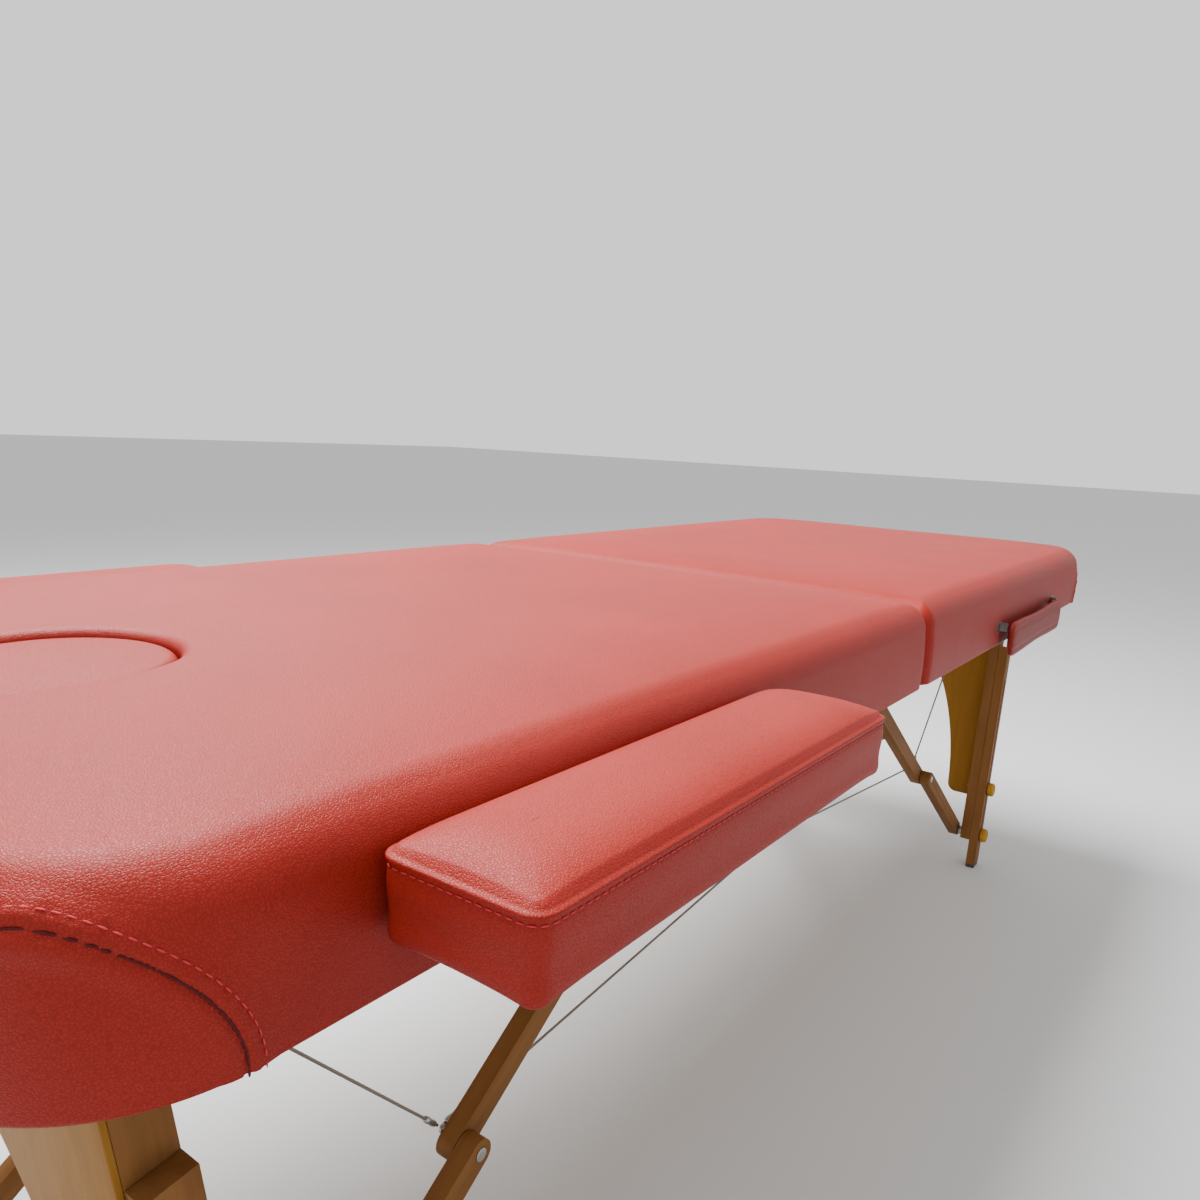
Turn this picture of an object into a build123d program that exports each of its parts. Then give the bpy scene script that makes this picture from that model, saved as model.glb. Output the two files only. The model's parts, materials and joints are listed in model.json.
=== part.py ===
"""Portable two-section massage table: folding wooden frame, padded top, armrests and face plug.

X runs along the table (head end at -X), Y across it, Z up. The origin is on the floor under the
middle of the seam between the two halves. All sizes are in millimetres.
"""

import math
import os

from build123d import *

os.makedirs("parts", exist_ok=True)

# ---- driving dimensions -------------------------------------------------------------------
LENGTH = 1950  # whole table, head end to foot end
WIDTH = 700
PAD_TOP = 628  # top of the crowned pad above the floor, legs at their shortest
FRAME_BOTTOM = 532
RAIL_HEIGHT = 42
RAIL_THICKNESS = 20
DECK_THICKNESS = 5
SKIN = 1.5  # vinyl cover
CORNER_RADIUS = 100  # outer corners, in plan
SEAM_CORNER_RADIUS = 18
EDGE_ROUND = 30  # top edge of the pad
SEAM_GAP = 2  # from the centre plane to each cover

HINGE_Z = 524  # centre hinge pin, below the frames
KNUCKLE_RADIUS = 4
HINGE_PIN_RADIUS = 1.5
LEAF_THICKNESS = 1.3
KNUCKLES = 12
RUNNING = 0.06  # radial clearance of a turning fit

LEG_PIVOT = (890, 548)  # distance from the seam, height
FOOT_X = 801  # middle of a foot on the floor, from the seam
LEG_DEPTH = 30
EXTENSION_THICKNESS = 16
MAIN_THICKNESS = 17
LANE_GAP = 0.5
EXTENSION_TOP_Z = 429
MAIN_BOTTOM_Z = 50
RUBBER_HEIGHT = 6
EXTENSION_TRAVEL = 210
FOLDED_TILT = 0.5  # degrees a folded leg rises towards the seam
OUTER_FACE = {"head": 271, "foot": 253.5}  # outer face of the extensions, from the centreline

BRACE_PIVOT = (135, 546)  # upper brace on its bracket
BRACE_WIDTH = 24
BRACE_OVERHANG = 4
UPPER_LANE = (176.5, 193.5)
LOWER_LANE = (194.5, 211.5)
KNOB_HEIGHTS = (62, 152)  # the lower one is also the lower brace's pivot
KNOB_RADIUS = 13
KNOB_LENGTH = 12
STUD_RADIUS = 3
PIVOT_RADIUS = 4
KNEE_BARREL_RADIUS = 3.5
KNEE_HEAD_RADIUS = 5.5

PANEL_THICKNESS = 4
ARCH_HALF_WIDTH = 174
PANEL_FOOT = 132  # measured up along the leg, as are the next three
PANEL_TOP = 534
ARCH_CENTRE = 130
ARCH_HEIGHT = 332
PANEL_FOOT_RADIUS = 16

AXLE_RADIUS = 6
AXLE_HALF_LENGTH = 336
COLLAR_RADIUS = 11
COLLAR_WIDTH = 6

PLUG_CENTRE_X = -808
PLUG_LENGTH = 192
PLUG_WIDTH = 154
PLUG_GAP = 1.5
PLUG_LEDGE = 8
PLUG_BOARD = 8

ARM_X = (-816, -422)
ARM_GAP = 4.6
ARM_WIDTH = 94
ARM_Z = (566, 612)
ARM_BOARD = 12
ARM_BOARD_INSET = 4
PEG_X = (-718, -520)
PEG_Z = 553
PEG_RADIUS = 10
PEG_INNER_Y = 288
PEG_BLOCK = (32, 48, 26)

SOCKET_Y = 110  # head-end accessory sockets, from the centreline
SOCKET_RADIUS = 10

HANDLE_X = (330, 665)
HANDLE_Z = (515, 560)
HANDLE_THICKNESS = 14
HANDLE_GAP = 7
HANDLE_PIN = (-356, 558)  # y, z
HANDLE_PIN_RADIUS = 3

CABLE_RADIUS = 1.25
CABLE_LANES = (172.5, 168.5)
EYE_RISE = 11
EYE_RADIUS = 3.7
FAR_EYE_X = 430
CENTRE_CABLE_Z = 292

# ---- worked-out places --------------------------------------------------------------------
HALF = LENGTH / 2
DECK_BOTTOM = FRAME_BOTTOM + RAIL_HEIGHT
DECK_TOP = DECK_BOTTOM + DECK_THICKNESS
RAIL_OUTER_Y = WIDTH / 2 - SKIN
CORNER_X = HALF - CORNER_RADIUS - 4  # side rails end here and the bent end rail begins
HINGE_RAIL_X = SEAM_GAP + SKIN

LEAN = math.atan2(LEG_PIVOT[0] - FOOT_X, LEG_PIVOT[1])
HALF_DEPTH = LEG_DEPTH / 2
HALVES = (("head", -1), ("foot", 1))
SIDES = (("left", 1), ("right", -1))


def on_leg(height, outward=0.0):
    """Point (distance from seam, height) on a leg's axis, moved outward across its depth."""
    x = FOOT_X + (LEG_PIVOT[0] - FOOT_X) * height / LEG_PIVOT[1]
    return (x + outward * math.cos(LEAN), height - outward * math.sin(LEAN))


def at_height(height, outward):
    """Point at an exact height on the leg's face that stands outward from its axis."""
    x = FOOT_X + (LEG_PIVOT[0] - FOOT_X) * height / LEG_PIVOT[1]
    return (x + outward / math.cos(LEAN), height)


def toward(start, end, distance):
    """Point at a distance from start on the way to end."""
    span = math.dist(start, end)
    return tuple(a + (b - a) * distance / span for a, b in zip(start, end))


BRACE_FOOT = on_leg(KNOB_HEIGHTS[0])
_reach = math.dist(LEG_PIVOT, BRACE_FOOT)
FOLDED_BRACE_FOOT = (
    LEG_PIVOT[0] - _reach * math.cos(math.radians(FOLDED_TILT)),
    LEG_PIVOT[1] + _reach * math.sin(math.radians(FOLDED_TILT)),
)
_open_span = math.dist(BRACE_PIVOT, BRACE_FOOT)
_folded_span = math.dist(BRACE_PIVOT, FOLDED_BRACE_FOOT)
UPPER_LENGTH = (_open_span + _folded_span) / 2
LOWER_LENGTH = (_open_span - _folded_span) / 2
KNEE = toward(BRACE_PIVOT, BRACE_FOOT, UPPER_LENGTH)
BRACE_SLOPE = math.atan2(BRACE_PIVOT[1] - KNEE[1], KNEE[0] - BRACE_PIVOT[0])
KNEE_EYE = (
    KNEE[0] + EYE_RISE * math.sin(BRACE_SLOPE),
    KNEE[1] + EYE_RISE * math.cos(BRACE_SLOPE),
)
FAR_EYE = (FAR_EYE_X, BRACE_PIVOT[1] - (FAR_EYE_X - BRACE_PIVOT[0]) * math.tan(BRACE_SLOPE))
PIN_ANCHOR = (LEG_PIVOT[0] - 7, LEG_PIVOT[1] - 8)


def main_faces(half):
    """Inner and outer face of a main leg plank, from the centreline."""
    outer = OUTER_FACE[half] - EXTENSION_THICKNESS - LANE_GAP
    return (outer - MAIN_THICKNESS, outer)


def lane_plane(y):
    """Upright plane along the table; its sketch coordinates are X and Z."""
    return Plane(origin=(0, y, 0), x_dir=(1, 0, 0), z_dir=(0, -1, 0))


def finish(piece, label):
    """Names a finished piece and writes its STEP file."""
    piece.part.label = label
    export_step(piece.part, f"parts/{label}.step")


def outline(s, inset, start):
    """Sketch of one half in plan from the distance start to its end, drawn inset from the edge."""
    end = HALF - inset
    with Locations((s * (start + end) / 2, 0)):
        Rectangle(end - start, WIDTH - 2 * inset)
    limit = (start + end) / 2
    corners = [v for v in vertices() if abs(v.X) > limit]
    fillet(corners, CORNER_RADIUS - inset)
    seam = [v for v in vertices() if abs(abs(v.X) - start) < 0.01]
    fillet(seam, SEAM_CORNER_RADIUS - min(inset, SEAM_CORNER_RADIUS / 2))


def slab(x0, x1, y0, y1, z0, z1, mode=Mode.ADD):
    """Box between two corners, inside the current part."""
    with Locations(((x0 + x1) / 2, (y0 + y1) / 2, (z0 + z1) / 2)):
        Box(abs(x1 - x0), abs(y1 - y0), abs(z1 - z0), mode=mode)


def bar(x, z, y0, y1, radius, mode=Mode.ADD):
    """Round bar across the table, inside the current part."""
    with BuildSketch(lane_plane((y0 + y1) / 2)) as disc:
        with Locations((x, z)):
            Circle(radius)
    extrude(disc.sketch, amount=abs(y1 - y0) / 2, both=True, mode=mode)


def plate(points, y0, y1, mode=Mode.ADD):
    """Flat piece with a straight-sided outline in X and Z, from y0 to y1."""
    with BuildSketch(lane_plane((y0 + y1) / 2)) as side_view:
        with BuildLine():
            Polyline(*points, close=True)
        make_face()
    extrude(side_view.sketch, amount=abs(y1 - y0) / 2, both=True, mode=mode)


def link(start, end, width, y0, y1, mode=Mode.ADD):
    """Flat bar with round ends between two centres, from y0 to y1."""
    angle = math.degrees(math.atan2(end[1] - start[1], end[0] - start[0]))
    with BuildSketch(lane_plane((y0 + y1) / 2)) as side_view:
        with Locations(((start[0] + end[0]) / 2, (start[1] + end[1]) / 2)):
            SlotCenterToCenter(math.dist(start, end), width, rotation=angle)
    extrude(side_view.sketch, amount=abs(y1 - y0) / 2, both=True, mode=mode)


def oval(grow, z0, z1, mode=Mode.ADD):
    """Face hole or plug shape, grown all round, from z0 to z1."""
    with BuildSketch(Plane.XY.offset(z0)) as plan:
        with Locations((PLUG_CENTRE_X, 0)):
            SlotOverall(PLUG_LENGTH + 2 * grow, PLUG_WIDTH + 2 * grow)
    extrude(plan.sketch, amount=z1 - z0, mode=mode)


# ---- the two halves: cover, foam, deck and rails ------------------------------------------
for half, s in HALVES:
    with BuildPart() as core:
        with BuildSketch(Plane.XY.offset(FRAME_BOTTOM)):
            outline(s, SKIN, SEAM_GAP + SKIN)
        extrude(amount=PAD_TOP - SKIN - FRAME_BOTTOM)
        fillet(core.edges().group_by(Axis.Z)[-1], EDGE_ROUND - SKIN)

    with BuildPart() as cover:
        with BuildSketch(Plane.XY.offset(FRAME_BOTTOM)):
            outline(s, 0, SEAM_GAP)
        extrude(amount=PAD_TOP - FRAME_BOTTOM)
        fillet(cover.edges().group_by(Axis.Z)[-1], EDGE_ROUND)
        add(core.part, mode=Mode.SUBTRACT)
        if half == "head":
            oval(PLUG_GAP + SKIN, DECK_TOP, PAD_TOP - SKIN)
            oval(PLUG_GAP, DECK_TOP - 1, PAD_TOP + 1, Mode.SUBTRACT)
            for side, t in SIDES:
                for x in PEG_X:
                    through = (t * (RAIL_OUTER_Y - 1), t * (WIDTH / 2 + 1))
                    bar(x, PEG_Z, *through, PEG_RADIUS + 1, Mode.SUBTRACT)
            with BuildSketch(Plane.YZ.offset(-HALF - 1)):
                with Locations((-SOCKET_Y, PEG_Z), (SOCKET_Y, PEG_Z)):
                    Circle(SOCKET_RADIUS + 1)
            extrude(amount=SKIN + 2, mode=Mode.SUBTRACT)
    finish(cover, f"{half}_cover")

    with BuildPart() as foam:
        add(core.part)
        slab(s * -1, s * (HALF + 1), -WIDTH, WIDTH, FRAME_BOTTOM - 1, DECK_TOP, Mode.SUBTRACT)
        if half == "head":
            oval(PLUG_GAP + SKIN, DECK_TOP - 1, PAD_TOP + 1, Mode.SUBTRACT)
    finish(foam, f"{half}_foam")

    with BuildPart() as deck:
        with BuildSketch(Plane.XY.offset(DECK_BOTTOM)):
            outline(s, SKIN, SEAM_GAP + SKIN)
        extrude(amount=DECK_THICKNESS)
        if half == "head":
            oval(-PLUG_LEDGE, DECK_BOTTOM - 1, DECK_TOP + 1, Mode.SUBTRACT)
    finish(deck, f"{half}_deck")

    with BuildPart() as side_rails:
        for side, t in SIDES:
            inner = HINGE_RAIL_X + RAIL_THICKNESS
            slab(
                s * inner,
                s * CORNER_X,
                t * (RAIL_OUTER_Y - RAIL_THICKNESS),
                t * RAIL_OUTER_Y,
                FRAME_BOTTOM,
                DECK_BOTTOM,
            )
            if half == "head":
                for x in PEG_X:
                    bore_start = RAIL_OUTER_Y - RAIL_THICKNESS - 1
                    bar(x, PEG_Z, t * bore_start, t * WIDTH / 2, PEG_RADIUS + 0.08, Mode.SUBTRACT)
    finish(side_rails, f"{half}_side_rails")

    with BuildPart() as hinge_rail:
        slab(
            s * HINGE_RAIL_X,
            s * (HINGE_RAIL_X + RAIL_THICKNESS),
            -RAIL_OUTER_Y,
            RAIL_OUTER_Y,
            FRAME_BOTTOM,
            DECK_BOTTOM,
        )
        add(core.part, mode=Mode.INTERSECT)
    finish(hinge_rail, f"{half}_hinge_rail")

    with BuildPart() as end_rail:
        with BuildSketch(Plane.XY.offset(FRAME_BOTTOM)):
            outline(s, SKIN, HALF / 2)
        extrude(amount=RAIL_HEIGHT)
        with BuildSketch(Plane.XY.offset(FRAME_BOTTOM)):
            outline(s, SKIN + RAIL_THICKNESS, HALF / 2 - 50)
        extrude(amount=RAIL_HEIGHT, mode=Mode.SUBTRACT)
        slab(0, s * CORNER_X, -WIDTH, WIDTH, FRAME_BOTTOM - 1, DECK_BOTTOM + 1, Mode.SUBTRACT)
        for side, t in SIDES:
            bar(
                s * LEG_PIVOT[0],
                LEG_PIVOT[1],
                t * (AXLE_HALF_LENGTH - 30),
                t * (AXLE_HALF_LENGTH + 2),
                AXLE_RADIUS + 0.05,
                Mode.SUBTRACT,
            )
        if half == "head":
            with BuildSketch(Plane.YZ.offset(-HALF - 1)):
                with Locations((-SOCKET_Y, PEG_Z), (SOCKET_Y, PEG_Z)):
                    Circle(SOCKET_RADIUS)
            extrude(amount=RAIL_THICKNESS + SKIN + 3, mode=Mode.SUBTRACT)
    finish(end_rail, f"{half}_end_rail")

    # steel axle that both main legs of this half turn on, with a collar each side of each leg
    inner_face, outer_face = main_faces(half)
    with BuildPart() as leg_axle:
        x, z = s * LEG_PIVOT[0], LEG_PIVOT[1]
        bar(x, z, -AXLE_HALF_LENGTH, AXLE_HALF_LENGTH, AXLE_RADIUS)
        for side, t in SIDES:
            bar(x, z, t * (inner_face - 0.5 - COLLAR_WIDTH), t * (inner_face - 0.5), COLLAR_RADIUS)
            bar(x, z, t * (outer_face + 0.5), t * (outer_face + 0.5 + COLLAR_WIDTH), COLLAR_RADIUS)
    finish(leg_axle, f"{half}_leg_axle")

    # angle brackets under the deck, each with the stud that an upper brace turns on
    with BuildPart() as brace_brackets:
        plate_outer = UPPER_LANE[0] - 0.5
        plate_inner = plate_outer - 2.5
        for side, t in SIDES:
            x, z = s * BRACE_PIVOT[0], BRACE_PIVOT[1]
            slab(x - 15, x + 15, t * plate_inner, t * plate_outer, z - 13, DECK_BOTTOM)
            slab(x - 15, x + 15, t * (plate_inner - 26), t * plate_inner, DECK_BOTTOM - 2.5, DECK_BOTTOM)
            bar(x, z, t * plate_outer, t * (UPPER_LANE[1] + 0.8), PIVOT_RADIUS)
            bar(x, z, t * (UPPER_LANE[1] + 0.8), t * (UPPER_LANE[1] + 5), 2 * PIVOT_RADIUS)
    finish(brace_brackets, f"{half}_brace_brackets")

    # piano hinge leaf on the seam face, with every other knuckle
    pitch = 2 * AXLE_HALF_LENGTH / KNUCKLES
    with BuildPart() as hinge_leaf:
        leaf_x = 0.4
        slab(
            s * leaf_x,
            s * (leaf_x + LEAF_THICKNESS),
            -AXLE_HALF_LENGTH,
            AXLE_HALF_LENGTH,
            HINGE_Z + KNUCKLE_RADIUS + 0.4,
            DECK_BOTTOM - 8,
        )
        for k in range(KNUCKLES):
            if k % 2 == (s > 0):
                y0 = -AXLE_HALF_LENGTH + k * pitch + 0.3
                y1 = y0 + pitch - 0.6
                bar(0, HINGE_Z, y0, y1, KNUCKLE_RADIUS)
                slab(
                    s * leaf_x,
                    s * (leaf_x + LEAF_THICKNESS),
                    y0,
                    y1,
                    HINGE_Z + 2,
                    HINGE_Z + KNUCKLE_RADIUS + 2,
                )
        bar(0, HINGE_Z, -HALF, HALF, HINGE_PIN_RADIUS + RUNNING, Mode.SUBTRACT)
    finish(hinge_leaf, f"{half}_hinge_leaf")

with BuildPart() as hinge_pin:
    bar(0, HINGE_Z, -AXLE_HALF_LENGTH, AXLE_HALF_LENGTH, HINGE_PIN_RADIUS)
finish(hinge_pin, "hinge_pin")


# ---- leg frames ---------------------------------------------------------------------------
def mirrored(s, point):
    """A (distance from seam, height) point placed in one half."""
    return (s * point[0], point[1])


for half, s in HALVES:
    inner_face, outer_face = main_faces(half)
    extension_outer = OUTER_FACE[half]
    extension_inner = extension_outer - EXTENSION_THICKNESS
    pivot = mirrored(s, LEG_PIVOT)
    knobs = [mirrored(s, on_leg(h)) for h in KNOB_HEIGHTS]

    with BuildPart() as leg_mains:
        for side, t in SIDES:
            corners = [
                mirrored(s, LEG_PIVOT),
                mirrored(s, on_leg(LEG_PIVOT[1], HALF_DEPTH)),
                mirrored(s, on_leg(MAIN_BOTTOM_Z, HALF_DEPTH)),
                mirrored(s, on_leg(MAIN_BOTTOM_Z, -HALF_DEPTH)),
                mirrored(s, on_leg(LEG_PIVOT[1], -HALF_DEPTH)),
            ]
            plate(corners, t * inner_face, t * outer_face)
            bar(*pivot, t * inner_face, t * outer_face, HALF_DEPTH)
            bar(*pivot, t * (inner_face - 1), t * (outer_face + 1), AXLE_RADIUS + RUNNING, Mode.SUBTRACT)
            for x, z in knobs:
                bar(x, z, t * (inner_face - 1), t * (outer_face + 1), STUD_RADIUS + 0.05, Mode.SUBTRACT)
    finish(leg_mains, f"{half}_leg_mains")

    # plywood end panel screwed on the outer edges of the mains, with an arched opening
    panel_x, panel_z = mirrored(s, on_leg(0, HALF_DEPTH))
    panel_plane = Plane(
        origin=(panel_x, 0, panel_z),
        x_dir=(0, 1, 0),
        z_dir=(math.cos(LEAN), 0, -s * math.sin(LEAN)),
    )
    with BuildPart() as leg_panel:
        with BuildSketch(panel_plane):
            with Locations((0, (PANEL_FOOT + PANEL_TOP) / 2)):
                Rectangle(2 * outer_face, PANEL_TOP - PANEL_FOOT)
            with Locations((0, ARCH_CENTRE)):
                Ellipse(ARCH_HALF_WIDTH, ARCH_HEIGHT, mode=Mode.SUBTRACT)
            fillet(vertices().group_by(Axis.Y)[0], PANEL_FOOT_RADIUS)
        extrude(amount=s * PANEL_THICKNESS)
    finish(leg_panel, f"{half}_leg_panel")

    # studs for the knobs; the lower one is shouldered and is the lower brace's pivot
    with BuildPart() as leg_bolts:
        for side, t in SIDES:
            stud_end = extension_outer + KNOB_LENGTH - 2
            for x, z in knobs:
                bar(x, z, t * inner_face, t * stud_end, STUD_RADIUS)
            x, z = knobs[1]
            bar(x, z, t * (inner_face - 2.5), t * inner_face, 2 * STUD_RADIUS)
            x, z = knobs[0]
            bar(x, z, t * (LOWER_LANE[1] + 0.4), t * inner_face, 9)
            bar(x, z, t * (LOWER_LANE[0] + 3), t * (LOWER_LANE[1] + 0.4), PIVOT_RADIUS)
            bar(x, z, t * (LOWER_LANE[0] + 0.5), t * (LOWER_LANE[0] + 3), 7)
    finish(leg_bolts, f"{half}_leg_bolts")

    for side, t in SIDES:
        with BuildPart() as extension:
            corners = [
                mirrored(s, on_leg(EXTENSION_TOP_Z, HALF_DEPTH)),
                mirrored(s, at_height(RUBBER_HEIGHT, HALF_DEPTH)),
                mirrored(s, at_height(RUBBER_HEIGHT, -HALF_DEPTH)),
                mirrored(s, on_leg(EXTENSION_TOP_Z, -HALF_DEPTH)),
            ]
            plate(corners, t * extension_inner, t * extension_outer)
            slot_low = toward(knobs[0], knobs[1], -3)
            slot_high = toward(knobs[0], knobs[1], math.dist(*knobs) + EXTENSION_TRAVEL + 3)
            link(
                slot_low,
                slot_high,
                2 * STUD_RADIUS + 0.6,
                t * (extension_inner - 1),
                t * (extension_outer + 1),
                Mode.SUBTRACT,
            )
        finish(extension, f"{half}_{side}_extension")

        with BuildPart() as rubber_foot:
            corners = [
                mirrored(s, at_height(RUBBER_HEIGHT, HALF_DEPTH)),
                mirrored(s, at_height(0, HALF_DEPTH)),
                mirrored(s, at_height(0, -HALF_DEPTH)),
                mirrored(s, at_height(RUBBER_HEIGHT, -HALF_DEPTH)),
            ]
            plate(corners, t * extension_inner, t * extension_outer)
        finish(rubber_foot, f"{half}_{side}_rubber_foot")

        for level, (x, z) in zip(("lower", "upper"), knobs):
            with BuildPart() as knob:
                start = extension_outer + 0.4
                bar(x, z, t * start, t * (start + KNOB_LENGTH), KNOB_RADIUS)
                fillet(knob.edges().group_by(Axis.Y)[0 if t < 0 else -1], 3)
                bore = (t * (start - 1), t * (start + KNOB_LENGTH - 2))
                bar(x, z, *bore, STUD_RADIUS + RUNNING, Mode.SUBTRACT)
            finish(knob, f"{half}_{side}_{level}_knob")

# ---- folding braces -----------------------------------------------------------------------
for half, s in HALVES:
    top, knee, eye = mirrored(s, BRACE_PIVOT), mirrored(s, KNEE), mirrored(s, KNEE_EYE)
    brace_foot = mirrored(s, BRACE_FOOT)
    far_eye = mirrored(s, FAR_EYE)
    upper_end = toward(top, knee, UPPER_LENGTH + BRACE_OVERHANG)

    with BuildPart() as upper_braces:
        for side, t in SIDES:
            low, high = t * UPPER_LANE[0], t * UPPER_LANE[1]
            link(top, upper_end, BRACE_WIDTH, low, high)
            bar(*top, low - t, high + t, PIVOT_RADIUS + RUNNING, Mode.SUBTRACT)
            bar(*knee, low - t, high + t, KNEE_BARREL_RADIUS, Mode.SUBTRACT)
    finish(upper_braces, f"{half}_upper_braces")

    # knee nut in the upper brace, carrying the eye that two truss cables hook into
    with BuildPart() as knee_plates:
        for side, t in SIDES:
            inner = UPPER_LANE[0]
            bar(*knee, t * inner, t * (UPPER_LANE[1] - 0.2), KNEE_BARREL_RADIUS)
            link(knee, eye, 2 * EYE_RADIUS, t * (inner - 2.5), t * inner)
            bar(*eye, t * (inner - 3), t * (inner + 1), 2, Mode.SUBTRACT)
    finish(knee_plates, f"{half}_knee_plates")

    with BuildPart() as lower_braces:
        for side, t in SIDES:
            low, high = t * LOWER_LANE[0], t * LOWER_LANE[1]
            link(knee, brace_foot, BRACE_WIDTH, low, high)
            bar(*knee, low - t, high + t, KNEE_BARREL_RADIUS, Mode.SUBTRACT)
            bar(*brace_foot, low - t, high + t, PIVOT_RADIUS + RUNNING, Mode.SUBTRACT)
            bar(*brace_foot, low - t, low + 3.5 * t, 7.5, Mode.SUBTRACT)
    finish(lower_braces, f"{half}_lower_braces")

    # knee bolt with its low head on the outer face of the lower brace
    with BuildPart() as knee_bolts:
        for side, t in SIDES:
            outer = LOWER_LANE[1]
            bar(*knee, t * (LOWER_LANE[0] + 0.2), t * outer, KNEE_BARREL_RADIUS)
            bar(*knee, t * outer, t * (outer + 1.2), KNEE_HEAD_RADIUS)
    finish(knee_bolts, f"{half}_knee_bolts")

    # truss cables of this half: knee to leg axle, and the two runs that cross under the seam
    with BuildPart() as truss_cables:
        seam_point = (s * 0.4, CENTRE_CABLE_Z)
        own, other = CABLE_LANES if s < 0 else CABLE_LANES[::-1]
        runs = [
            (eye, mirrored(s, PIN_ANCHOR), CABLE_LANES[0]),
            (eye, seam_point, own),
            (far_eye, seam_point, other),
        ]
        for side, t in SIDES:
            for number, (start, end, lane) in enumerate(runs):
                clear = toward(start, end, 5)
                if number == 0:
                    clear = toward(start, end, 9)
                axis = Plane(
                    origin=(clear[0], t * lane, clear[1]),
                    z_dir=(end[0] - clear[0], 0, end[1] - clear[1]),
                )
                with BuildSketch(axis):
                    Circle(CABLE_RADIUS)
                extrude(amount=math.dist(clear, end))
    finish(truss_cables, f"{half}_truss_cables")

# ---- armrests, face plug and carry handle -------------------------------------------------
for side, t in SIDES:
    near = WIDTH / 2 + ARM_GAP
    far = near + ARM_WIDTH
    board_top = ARM_Z[0] + ARM_BOARD
    board_box = (
        ARM_X[0] + ARM_BOARD_INSET,
        ARM_X[1] - ARM_BOARD_INSET,
        t * (near + ARM_BOARD_INSET),
        t * (far - ARM_BOARD_INSET),
    )

    with BuildPart() as armrest_base:
        slab(*board_box, ARM_Z[0], board_top)
        for x in PEG_X:
            width, reach, height = PEG_BLOCK
            block = (x - width / 2, x + width / 2, t * (near + 1), t * (near + 1 + reach))
            slab(*block, ARM_Z[0] - height, ARM_Z[0])
            bar(x, PEG_Z, t * PEG_INNER_Y, t * (near + 2), PEG_RADIUS)
    finish(armrest_base, f"{side}_armrest_base")

    with BuildPart() as armrest_pad:
        slab(ARM_X[0], ARM_X[1], t * near, t * far, ARM_Z[0], ARM_Z[1])
        fillet(armrest_pad.edges().filter_by(Axis.Z), 14)
        fillet(armrest_pad.edges().group_by(Axis.Z)[-1], 8)
        slab(*board_box, ARM_Z[0] - 1, board_top, Mode.SUBTRACT)
    finish(armrest_pad, f"{side}_armrest_pad")

with BuildPart() as face_plug_board:
    oval(-2, DECK_TOP, DECK_TOP + PLUG_BOARD)
finish(face_plug_board, "face_plug_board")

with BuildPart() as face_plug_pad:
    oval(0, DECK_TOP + PLUG_BOARD, PAD_TOP)
    fillet(face_plug_pad.edges().group_by(Axis.Z)[-1], 4)
finish(face_plug_pad, "face_plug_pad")

# strap handle that swings on a pin at each end, on the right side of the foot half
pin_y, pin_z = HANDLE_PIN
hub_radius = 6
strap_y = -WIDTH / 2 - HANDLE_GAP
with BuildPart() as carry_handle:
    slab(*HANDLE_X, strap_y - HANDLE_THICKNESS, strap_y, *HANDLE_Z)
    fillet(carry_handle.edges().filter_by(Axis.X), 6)
    for x0, x1 in ((HANDLE_X[0], HANDLE_X[0] + 16), (HANDLE_X[1] - 16, HANDLE_X[1])):
        slab(x0, x1, strap_y - 2, pin_y, pin_z - hub_radius, pin_z + hub_radius)
        with BuildSketch(Plane.YZ.offset(x0)):
            with Locations((pin_y, pin_z)):
                Circle(5)
        extrude(amount=x1 - x0)
    with BuildSketch(Plane.YZ.offset(HANDLE_X[0] - 1)):
        with Locations((pin_y, pin_z)):
            Circle(HANDLE_PIN_RADIUS + RUNNING)
    extrude(amount=HANDLE_X[1] - HANDLE_X[0] + 2, mode=Mode.SUBTRACT)
finish(carry_handle, "carry_handle")

with BuildPart() as handle_mounts:
    for x, direction in ((HANDLE_X[0], -1), (HANDLE_X[1], 1)):
        ear = x + 0.5 * direction
        slab(ear, ear + 3 * direction, -WIDTH / 2, pin_y - 5, pin_z - 6, pin_z + 6)
        slab(ear, ear + 20 * direction, -WIDTH / 2, -WIDTH / 2 - 1.5, pin_z - 8, pin_z + 8)
        with BuildSketch(Plane.YZ.offset(ear)):
            with Locations((pin_y, pin_z)):
                Circle(HANDLE_PIN_RADIUS)
        extrude(amount=-14 * direction)
finish(handle_mounts, "handle_mounts")

print("leg lean", round(math.degrees(LEAN), 3), "brace slope", round(math.degrees(BRACE_SLOPE), 3))
print("upper", round(UPPER_LENGTH, 2), "lower", round(LOWER_LENGTH, 2), "knee", KNEE)
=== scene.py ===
"""Dresses the portable massage table: upholstery, wood, hardware, studio and camera.

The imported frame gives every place. Pieces here are only looks: padded covers, eased wood edges,
turned knobs, stitching and steel, each riding on the body that it belongs to. Lengths are metres.
"""

import json
import math

import bmesh
import bpy
from mathutils import Matrix, Vector, noise


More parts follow.
